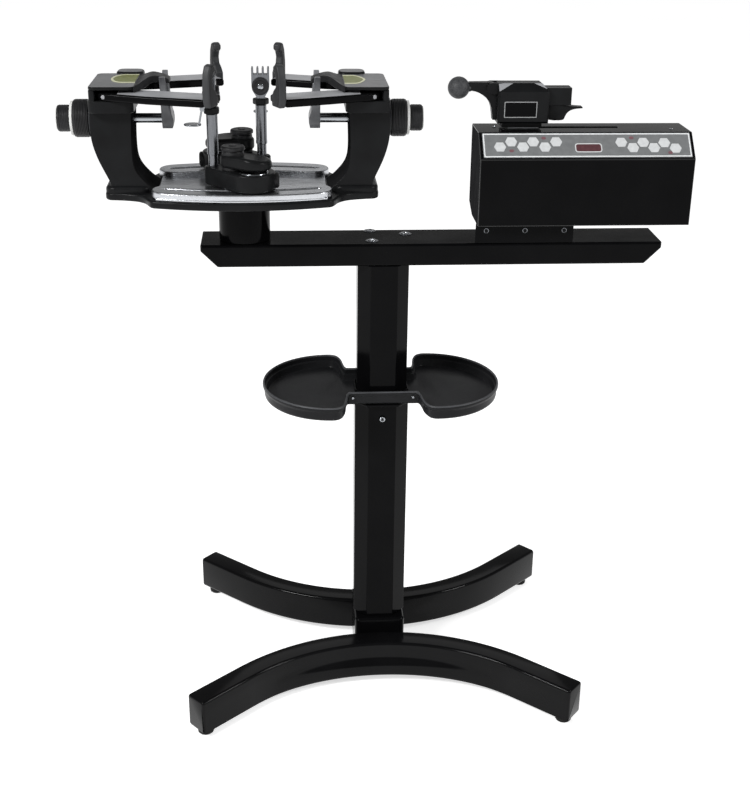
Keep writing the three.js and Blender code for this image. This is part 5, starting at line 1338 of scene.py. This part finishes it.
for end in ends:
    turn, place = clamp_turn_and_place(end)
    base_node, lever_node = "clamp_base_" + end, "clamp_lock_lever_" + end
    body = plate("clamp_body_" + end, belt(*lobe, 33, *socket, 13), clamp_low, clamp_top - clamp_low)
    round_edges(body, 3, segments=5, from_angle=50)
    dress(settle(body, turn, place), black_casting, base_node, "black_casting", base_node)
    key = turned("clamp_key_" + end, rod_profile(823, 830, 3.6), (lobe[0], key_y, 0), upright, 32)
    round_edges(key, 0.4)
    dress(settle(key, turn, place), chromed_steel, base_node, "black_casting")
    ring = turned("clamp_ring_" + end, ring_profile, (*ring_middle, 0), upright)
    round_edges(ring, 0.2, segments=2, from_angle=80)
    dress(settle(ring, turn, place), chromed_steel, base_node, "black_casting")
    screw = turned("clamp_side_screw_" + end, side_screw_profile, (0, lobe[1], screw_z), (1, 0, 0), 48)
    round_edges(screw, 0.3, segments=2)
    dress(settle(screw, turn, place), black_moulded_plastic, base_node, "black_casting")
    knob = turned("clamp_knob_" + end, clamp_knob_profile, (*lever_axis, 0), upright)
    round_edges(knob, 0.5, segments=2)
    dress(settle(knob, turn, place), black_moulded_plastic, lever_node, "black_casting", lever_node)
    wing = plate("clamp_wing_" + end, belt(18, -72, 25, *lever_axis, 18.5, 28), wing_low, wing_height)
    for vertex in wing.data.vertices:
        if vertex.co.z > slope_above * millimetre:
            vertex.co.z -= max(0, vertex.co.x / millimetre - slope_from) * slope_share * millimetre
    round_edges(wing, 5.5, segments=6, from_angle=50)
    dress(settle(wing, turn, place), black_casting, lever_node, "black_casting")
print("clamp bases built")

# %% [markdown]
# A clamp post is a rod of drawn and nickelled steel with a hexagonal collar, and on it two jaw
# plates with four teeth each. Outside each plate sits a black disc with a chromed cap, the
# adjuster of the bite. Drawing leaves long fine lines along the rod, which run along Z here.

# %% Shapes of a clamp post
drawn_steel = make_finish(
    "drawn_and_nickelled_steel", "#6d6f73", "#84868a", roughness=(0.2, 0.32), Metallic=1.0,
    drift=dict(size_mm=0.9, detail=2.0, stretch=(1, 1, 0.03)),
)
# place of each post and the turn of its head in degrees
post_places = {"front": ((-238, -35), -90), "rear": ((-169.45, 36.25), 0)}
rod_outline = [
    (835.6, 0), (835.6, 7), (872, 7), (872.6, 8.4), (876.4, 8.4),
    (877, 8.1), (929, 8.1), (929.4, 7), (931, 7), (931, 0),
]
collar_radius, collar_low, collar_height = 12.4, 930, 9
# shares of half the jaw's width and of its height
jaw_shares = [(0.4, 0), (0.62, 0.12), (0.9, 0.26), (1, 0.42), (1, 0.8)]
jaw_low, jaw_high, jaw_half_width = 939, 984, 13
teeth, tooth_height, tooth_width, tooth_tip, tooth_chamfer = 4, 10, 3, 1.5, 0.7
jaw_thickness, jaw_gap = 6.5, 0.8
adjuster_z = 957
disc_profile = [(6.8, 0), (6.8, 12.5), (10.6, 12.5), (11.4, 11.7), (11.4, 9), (10.6, 8.4), (10.6, 0)]
cap_profile = [(10, 0), (10, 4.6), (11.8, 4.4), (12.4, 3), (12.6, 0)]


def jaw_outline():
    """Shares up the side, then the teeth, and the same side mirrored."""
    root = jaw_high - tooth_height
    height = jaw_high - jaw_low
    side_up = smooth_curve([(a * jaw_half_width, jaw_low + u * height) for a, u in jaw_shares], 4)
    side_up = [p for p in side_up if p.y < root - 1]
    pitch = (2 * jaw_half_width - tooth_width) / (teeth - 1)
    comb = []
    for tooth in range(teeth):
        right_x = jaw_half_width - tooth * pitch
        left_x = right_x - tooth_width
        comb += [
            (right_x, root), (right_x, jaw_high - tooth_tip), (right_x - tooth_chamfer, jaw_high),
            (left_x + tooth_chamfer, jaw_high), (left_x, jaw_high - tooth_tip), (left_x, root),
        ]
    return side_up + [Vector(p) for p in comb] + [Vector((-p.x, p.y)) for p in reversed(side_up)]


print("jaw outline has", len(jaw_outline()), "places")

# %% [markdown]
# Everything on a post is modelled round the origin, then turned and moved to its place. The jaw
# lever hangs from a pin between two ears: a thin strip that bows outwards and widens downwards,
# with a round tab at its foot for a fingertip.

# %% Build the clamp posts and their jaw levers
ear_inner, ear_outer, ear_thickness = 4.3, 6.3, 2
pin_y, pin_z = -13, 937
strip_top, strip_length, strip_bow, strip_top_share = 940, 27, 5.5, 0.62
tab_half_width, tab_half_depth, tab_y = 11, 12.5, -27.5
lever_low = 913


def round_tab(steps=40):
    """The oval outline of the jaw lever's tab."""
    angles = (2 * math.pi * step / steps for step in range(steps))
    return [(tab_half_width * math.cos(a), tab_y + tab_half_depth * math.sin(a)) for a in angles]


def make_jaw_lever(end, lever_turn, place):
    """The strip, its pin and its tab."""
    strip = rounded_rectangle(-5.5, 5.5, lever_low, 938.2, 1.1)
    lever = plate("jaw_lever_strip_" + end, strip, -14.2, 2.4, "XZ")
    for vertex in lever.data.vertices:
        drop = (strip_top - vertex.co.z / millimetre) / strip_length
        vertex.co.y -= strip_bow * drop ** 2 * millimetre
        vertex.co.x *= strip_top_share + (1 - strip_top_share) * drop
    round_edges(lever, 0.7, segments=2, from_angle=50)
    pin = turned("jaw_lever_pin_" + end, rod_profile(-7, 7, 0.9), (0, pin_y, pin_z), (1, 0, 0), 24)
    dress(settle(pin, lever_turn, place), chromed_steel, "clamp_post_" + end, "chromed_steel")
    lever_node = "clamp_jaw_lever_" + end
    dress(settle(lever, lever_turn, place), chromed_steel, lever_node, "chromed_steel", lever_node)
    tab = round_edges(plate("jaw_lever_tab_" + end, round_tab(), lever_low, 2.6), 1.1, from_angle=50)
    dress(settle(tab, lever_turn, place), chromed_steel, lever_node, "chromed_steel")


for end in ends:
    (post_x, post_y), head_turn = post_places[end]
    turn = math.radians(head_turn)
    lever_turn = turn if end == "front" else clamp_turn_and_place(end)[0]
    place = at(post_x, post_y, 0)
    post_node = "clamp_post_" + end
    rod = round_edges(turned("clamp_rod_" + end, rod_outline, (0, 0, 0), upright, 64), 0.2, segments=2)
    dress(settle(rod, turn, place), drawn_steel, post_node, "chromed_steel", post_node)
    hexagon = arc((0, 0), collar_radius, 0, 300, 5)
    collar = round_edges(plate("clamp_collar_" + end, hexagon, collar_low, collar_height), 2)
    dress(settle(collar, turn, place), black_casting, post_node, "chromed_steel")
    for face_name, face in (("near", -1), ("far", 1)):
        name = face_name + "_" + end
        jaw_front = face * (jaw_thickness + jaw_gap) / 2 - jaw_thickness / 2
        jaw = plate("clamp_jaw_" + name, jaw_outline(), jaw_front, jaw_thickness, "XZ")
        round_edges(jaw, 0.6, segments=2, from_angle=40)
        dress(settle(jaw, turn, place), drawn_steel, post_node, "chromed_steel")
        disc = turned("clamp_disc_" + name, disc_profile, (0, 0, adjuster_z), (0, face, 0), 64)
        round_edges(disc, 0.25, segments=2)
        dress(settle(disc, turn, place), black_moulded_plastic, post_node, "chromed_steel")
        cap = turned("clamp_cap_" + name, cap_profile, (0, 0, adjuster_z), (0, face, 0), 48)
        round_edges(cap, 0.2, segments=2, from_angle=60)
        dress(settle(cap, turn, place), chromed_steel, post_node, "chromed_steel")
    for ear_name, ear_low in (("left", -ear_outer), ("right", ear_inner)):
        ear_outline = rounded_rectangle(-16.5, -6.5, 933.5, 940.5, 3)
        ear = plate("clamp_ear_" + ear_name + "_" + end, ear_outline, ear_low, ear_thickness, "YZ")
        round_edges(ear, 0.4, segments=2)
        dress(settle(ear, lever_turn, place), chromed_steel, post_node, "chromed_steel")
    make_jaw_lever(end, lever_turn, place)
print("clamp posts built")

# %% [markdown]
# The control panel is a film on the housing's slope. Its keys are embossed hexagons in two
# zigzag rows, left bare, round a display window with a pale rim; a thin line frames it all.
# Everything on it is placed by its X and by how far up the slope it lies.

# %% Find the film's surface
# the slope's front edge and back edge, as Y and Z
slope_start, slope_end = (-59, 867.6), (-27, 900.7)
slope_length = math.dist(slope_start, slope_end)
slope_y = (slope_end[0] - slope_start[0]) / slope_length
slope_z = (slope_end[1] - slope_start[1]) / slope_length
film_places = [vertex.co / millimetre for vertex in frame["nodes"]["control_panel"].data.vertices]
film_xs = [place.x for place in film_places]
film_ups = [
    slope_y * (place.y - slope_start[0]) + slope_z * (place.z - slope_start[1]) for place in film_places
]
film_surface = max(
    slope_y * (place.z - slope_start[1]) - slope_z * (place.y - slope_start[0]) for place in film_places
)
film_sink = 0.2
print("surface of the film above the slope, in mm:", round(film_surface, 2))


def on_slope(x, up_slope, lift):
    """A place on the sloping face, lifted off the housing by some millimetres."""
    return at(
        x,
        slope_start[0] + slope_y * up_slope - slope_z * lift,
        slope_start[1] + slope_z * up_slope + slope_y * lift,
    )


def lifted(height):
    """The offset that lifts a piece off the slope."""
    return (0, -slope_z * height, slope_y * height)


def in_film(outline):
    """An outline laid on the slope, sunk a little into the film so that nothing floats."""
    return [on_slope(x, up, film_surface - film_sink) for x, up in outline]


def on_film(name, outline, height, material, edge=0.0):
    piece = thicken(loop_on(name, in_film(outline)), lifted(height + film_sink))
    if edge:
        round_edges(piece, edge, segments=2)
    return dress(piece, material, "mast", "panel_film")


def film_ring(name, outer, inner, height, material):
    ring = ring_between(name, in_film(outer), in_film(inner), lifted(height + film_sink))
    return dress(ring, material, "mast", "panel_film")


# %% [markdown]
# The print on the film is screen ink: flat colours with hardly any drift.

# %% Furnish the control panel
def make_print(name, dark, light):
    return make_finish(
        name, dark, light, drift=dict(size_mm=5, detail=4.0), roughness=0.45, Specular_IOR_Level=0.4,
    )


white_print = make_print("white_key_print", "#c2c4c5", "#cfd1d2")
border_print = make_print("bright_white_border_print", "#dadcdd", "#e6e8e9")
red_print = make_print("dull_red_print", "#6c4b50", "#7a5259")
display_red = make_print("red_display_window", "#4d2c30", "#5a373b")

key_places = [
    (174.1, 20.2), (190.8, 28.8), (207.6, 20.0), (222.9, 28.7), (239.7, 19.9), (256.6, 28.6),
    (352.2, 27.4), (368.9, 18.4), (384.7, 27.2), (399.9, 18.2), (415.7, 26.6), (431.6, 17.3),
]
mark_places = [(190.5, 13.9), (238.9, 35), (367.9, 35), (423.1, 10)]
mark_width_share, mark_height_share = 0.42, 0.3
key_half_width, key_flat, key_half_height = 8.9, 4.9, 7.6
hexagon_key = [
    (key_half_width, 0), (key_flat, key_half_height), (-key_flat, key_half_height),
    (-key_half_width, 0), (-key_flat, -key_half_height), (key_flat, -key_half_height),
]
window_outline = rounded_rectangle(285, 321.7, 12.3, 24.4, 3.2)
window_rim = rounded_rectangle(283.5, 323.2, 10.8, 25.9, 4.5)
border_outer, border_inner = (
    rounded_rectangle(
        min(film_xs) + inset, max(film_xs) - inset, min(film_ups) + inset, max(film_ups) - inset, 0.8,
    ) for inset in (0.9, 2.7)
)
for number, (x, up) in enumerate(key_places, 1):
    on_film(f"panel_key_{number}", [(x + a, up + b) for a, b in hexagon_key], 0.6, white_print, 0.35)
for number, (x, up) in enumerate(mark_places, 1):
    mark = [(x + a * mark_width_share, up + b * mark_height_share) for a, b in hexagon_key]
    on_film(f"panel_mark_{number}", mark, 0.1, red_print)
film_ring("panel_border", border_outer, border_inner, 0.1, border_print)
film_ring("display_rim", window_rim, window_outline, 0.5, white_print)
on_film("display_window", window_outline, 0.15, display_red)
print("panel furnished with", len(key_places), "keys")

# %% [markdown]
# The front of the tension head has a sunk label: here a bare black film inside a thin pale
# border line.

# %% Add the head's label
label_low, label_high = (183, 919), (231, 942)
label_y, label_film_y = -14, -13.9
label_line, label_overlap = 1.1, 1


def label_outline(inset, corner):
    """The label's outline, drawn in by an inset."""
    return rounded_rectangle(
        label_low[0] + inset, label_high[0] - inset, label_low[1] + inset, label_high[1] - inset, corner,
    )


label_film = plate("head_label_film", label_outline(label_overlap, 1), label_film_y, -0.25, "XZ")
dress(label_film, gloss_black_paint, "carriage", "black_casting")
outer, inner = ([at(x, label_y, z) for x, z in label_outline(inset, 1.2)] for inset in (0, label_line))
label_border = ring_between("head_label_border", outer, inner, (0, -0.3, 0))
dress(label_border, make_print("pale_label_line", "#8f9091", "#a2a3a4"), "carriage", "black_casting")
print("label added")

# %% [markdown]
# Small screws and bolts come next: a turned head with a round socket. The beam's bolts lie on
# turned washers, and the bracket's screws are black with a bright ring of bare steel round them.

# %% Add the fasteners
def add_screw(name, place, axis, radius, height, body, slot="chromed_steel"):
    """A screw head with rounded shoulders and a socket, seated a little into its face."""
    socket_radius = radius * 0.45
    head = turned(name, [
        (-0.5, 0), (-0.5, radius), (height * 0.55, radius), (height * 0.9, radius * 0.86),
        (height, radius * 0.6), (height, socket_radius),
        (height * 0.35, socket_radius * 0.9), (height * 0.35, 0),
    ], place, axis, 32)
    round_edges(head, min(0.25, height / 6), segments=2)
    return dress(head, chromed_steel, body, slot)


forwards = (0, -1, 0)
beam_top, bolt_foot = 738, 738.6
bolt_places = [(-8, 31), (-8, -23), (45, 13)]
washer_profile = [(-0.3, 5), (-0.3, 9.5), (0.7, 9.5), (1.1, 8.8), (1.1, 5)]
bracket_screws, bracket_front, bracket_screw_z = (160.5, 218.4, 277.3), -41, 757.5
screw_ring_profile = [(0, 2.8), (0, 3.7), (0.7, 3.7), (0.9, 3.4), (0.7, 2.8)]
housing_screws, housing_top = [(173.1, 10.5), (434.1, -7.3)], 900.7
tray_screws, tray_front, tray_screw_z = (-36.7, 56.7), -52, 496

for number, (x, y) in enumerate(bolt_places, 1):
    washer = turned(f"beam_washer_{number}", washer_profile, (x, y, beam_top), upright, 40)
    dress(washer, drawn_steel, "mast", "gloss_black_paint")
    add_screw(f"beam_bolt_{number}", (x, y, bolt_foot), upright, 6.5, 1.8, "mast", "gloss_black_paint")
for number, x in enumerate(bracket_screws, 1):
    foot = (x, bracket_front, bracket_screw_z)
    screw = add_screw(f"bracket_screw_{number}", foot, forwards, 2.9, 1.3, "mast", "gloss_black_paint")
    screw.data.materials[0] = black_casting
    ring = turned(f"bracket_screw_ring_{number}", screw_ring_profile, foot, forwards, 32)
    dress(ring, drawn_steel, "mast", "gloss_black_paint")
for number, (x, y) in enumerate(housing_screws, 1):
    add_screw(f"housing_screw_{number}", (x, y, housing_top), upright, 2.6, 1.2, "mast", "gloss_black_paint")
for number, x in enumerate(tray_screws, 1):
    foot = (x, tray_front, tray_screw_z)
    add_screw(f"tray_screw_{number}", foot, forwards, 2, 1, "stand", "black_tray_plastic")
print("fasteners added")

# %% [markdown]
# The screw that locks the height has a dished head with a hexagonal recess, and its shank reaches
# through the lower column's wall. A black hexagon, spun in six steps, sits in the head's socket as
# painted shade in the recess.

# %% Add the height lock screw
lock_foot = (column_x, -42.4, 456)
lock_head_profile = [
    (-0.5, 0), (-0.5, 4.5), (2.2, 4.5), (3.1, 4.2), (3.4, 3.7), (3.3, 2.6), (1.4, 2.5), (1.4, 0),
]
lock = turned("height_lock_screw_head", lock_head_profile, lock_foot, forwards, 48)
round_edges(lock, 0.25, segments=2)
dress(lock, chromed_steel, "lock_screw", "chromed_steel", "height_lock_screw")
# a black hexagon in the socket: painted shade
recess = turned("height_lock_screw_socket_shade", rod_profile(1.2, 1.8, 2.2), lock_foot, forwards, 6)
dress(recess, black_rubber, "lock_screw", "chromed_steel")
shank_foot = (column_x, -42, lock_foot[2])
shank = turned("height_lock_screw_shank", rod_profile(-1, 14, 3.8), shank_foot, (0, 1, 0), 32)
dress(round_edges(shank, 0.4), chromed_steel, "lock_screw", "chromed_steel")
print("lock screw added")

# %% [markdown]
# The head of the tensioner is a casting with a bevelled top edge. Its two front corners are ground
# bare, which shows as a small light triangle each. The ball of the grip lever is a pebbled vinyl
# moulding on a turned collar.

# %% Finish the tension head and the ball
refine("tension_head", "black_casting", 1.0)
facets = {
    "left": [(174.9, -13.6, 956.4), (196, -3.4, 966.6), (174.9, -3.4, 966.6)],
    "right": [(245, -10.4, 959.6), (239, -3.4, 966.6), (227, -3.4, 966.6)],
}
for facet_name, places in facets.items():
    facet = loop_on("head_facet_" + facet_name, [at(*place) for place in places])
    thicken(facet, (0, -0.2, 0.2))
    dress(facet, machined_arm_face, "carriage", "black_casting")

ball_radius = 16
ball_middle = (118.2, 8, 958.5)
ball_angles = [math.radians(7.5 * step) for step in range(22)]
ball_profile = [(-ball_radius * math.cos(a), ball_radius * math.sin(a)) for a in ball_angles]
ball_profile += [(ball_radius + 0.6, 5.6), (ball_radius + 2.2, 5.2), (ball_radius + 2.2, 0)]
ball = turned("grip_ball", ball_profile, ball_middle, (1, 0, 0), 72)
pebbled_vinyl = make_finish(
    "pebbled_grey_vinyl", "#303133", "#47484a", drift=dict(size_mm=2.4, roughness=0.6), relief_mm=0.25,
    roughness=0.5, Specular_IOR_Level=0.3,
)
dress(ball, pebbled_vinyl, "grip_lever", "grey_plastic", "grip_lever_ball")
pick(ball)
bpy.ops.object.shade_smooth_by_angle(angle=smooth_up_to)
print(ball.name, "faces:", len(ball.data.polygons))

# %% [markdown]
# The wing lever is drawn from its side outline. Behind the pivot it is cut round, like a turned
# hub, so that it can swing without touching the head, and towards its tip it grows narrower.

# %% Shape the wing lever
wing_pivot_x, hub_radius, hub_low, hub_high = 263, 12, 912.8, 934.6
hub_xs = [wing_pivot_x - hub_radius * math.cos(math.radians(a)) for a in (4, 16, 28, 40, 52, 64, 76)]
wing_curve = [(262, hub_high), (272, hub_high), (280, 933.6), (290, 932.3), (301.5, 931.6)]
wing_under = [
    (301.9, 929.4), (292, 928.6), (284, 926.6), (278.4, 922.6), (275.6, 917.6), (273, 913.4), (264, hub_low),
]
wing_front, wing_depth = -3, 22
wing_middle = (wing_front + wing_depth / 2) * millimetre
narrows_from, narrows_over, narrows_by = 266, 22, 0.45
wing_outline = (
    [(x, hub_high) for x in hub_xs] + smooth_curve(wing_curve, 4) + smooth_curve(wing_under, 4)
    + [(x, hub_low) for x in reversed(hub_xs)]
)
wing = plate("wing_casting", wing_outline, wing_front, wing_depth, "XZ")
for vertex in wing.data.vertices:
    flare = min(1, max(0, (vertex.co.x / millimetre - narrows_from) / narrows_over))
    back = min(1, max(0, (wing_pivot_x - vertex.co.x / millimetre) / hub_radius))
    share = (1 - narrows_by * flare) * math.sqrt(1 - back ** 2)
    vertex.co.y = wing_middle + (vertex.co.y - wing_middle) * share
round_edges(wing, 1, from_angle=50)
dress(wing, black_casting, "wing_lever", "black_casting", "wing_lever")
print(wing.name, "faces:", len(wing.data.polygons))

# %% [markdown]
# The tray is a shallow moulding with two lobes. One outline, drawn in step by step, gives every
# level of its wall: the rounded foot, the wall, a rolled rim that overhangs it, and inside a
# ledge half way down. Neighbouring levels are bridged to bands and the bands are welded. The
# rim's upward faces get a lighter grey as a painted highlight.

# %% Mould the accessory tray
tray_low = 483
neck_x, waist_half_depth = 50, 52
lobe_middle, lobe_half_depth, lobe_reach = 80, 113, 186
# shares of the way from the neck to the lobe's middle, and from the waist to the lobe's full depth
shoulder_shares = [(0, 0), (0.12, 0.1), (0.2, 0.32), (0.28, 0.62), (0.48, 0.88), (0.75, 0.98), (1, 1)]
# inset and height of each level, from under the foot over the rim to the floor inside
tray_levels = [
    (9, 0), (5, 0.4), (3.2, 2), (2.6, 5), (2.8, 12), (2.4, 14), (1.2, 15.6), (0.2, 17),
    (0, 18.6), (0.1, 20.4), (0.7, 21.8), (1.6, 22.4), (2.5, 22.2), (3.2, 21.2), (3.4, 20),
    (3.6, 13.6), (4.4, 12.8), (5.8, 12.2), (6.3, 11), (6.8, 4.6), (8, 2.7), (10.5, 2),
]
rim_low = tray_low + 19.5


def tray_outline(inset, steps=18):
    """The outline of the tray, drawn in by an inset."""
    neck, waist, deep = neck_x + inset, waist_half_depth - inset, lobe_half_depth - inset
    reach = lobe_reach - inset - lobe_middle
    shoulder = [(neck + a * (lobe_middle - neck), waist + u * (deep - waist)) for a, u in shoulder_shares]
    quarter = smooth_curve(shoulder, 4)[:-1]
    for step in range(steps + 1):
        angle = math.pi / 2 * (1 - step / steps)
        quarter.append(Vector((lobe_middle + reach * math.cos(angle), deep * math.sin(angle))))
    half = quarter + [Vector((p.x, -p.y)) for p in reversed(quarter[:-1])]
    return half + [Vector((-p.x, -p.y)) for p in half]


def tray_level(inset, height):
    return [at(column_x + p.x, p.y, tray_low + height) for p in tray_outline(inset)]


levels = [tray_level(inset, height) for inset, height in tray_levels]
bands = [
    band_between(f"tray_band_{number}", lower, upper)
    for number, (lower, upper) in enumerate(zip(levels, levels[1:]))
]
bands.append(loop_on("tray_underside", levels[0]))
bands.append(loop_on("tray_floor", levels[-1]))
tray = bands[0]
pick(tray)
for band in bands:
    band.select_set(True)
bpy.ops.object.join()
tray.name = "moulded_tray"
edit(tray)
close_edit()
pick(tray)
bpy.ops.object.shade_smooth_by_angle(angle=math.radians(40))
dress(tray, black_tray_plastic, "stand", "black_tray_plastic", "accessory_tray")
# the upward faces of the rim get the lighter grey as a painted highlight
tray.data.materials.append(rim_painted_highlight_grey)
for face in tray.data.polygons:
    if face.center.z / millimetre > rim_low and face.normal.z > 0.1:
        face.material_index = 1
print("tray faces:", len(tray.data.polygons))
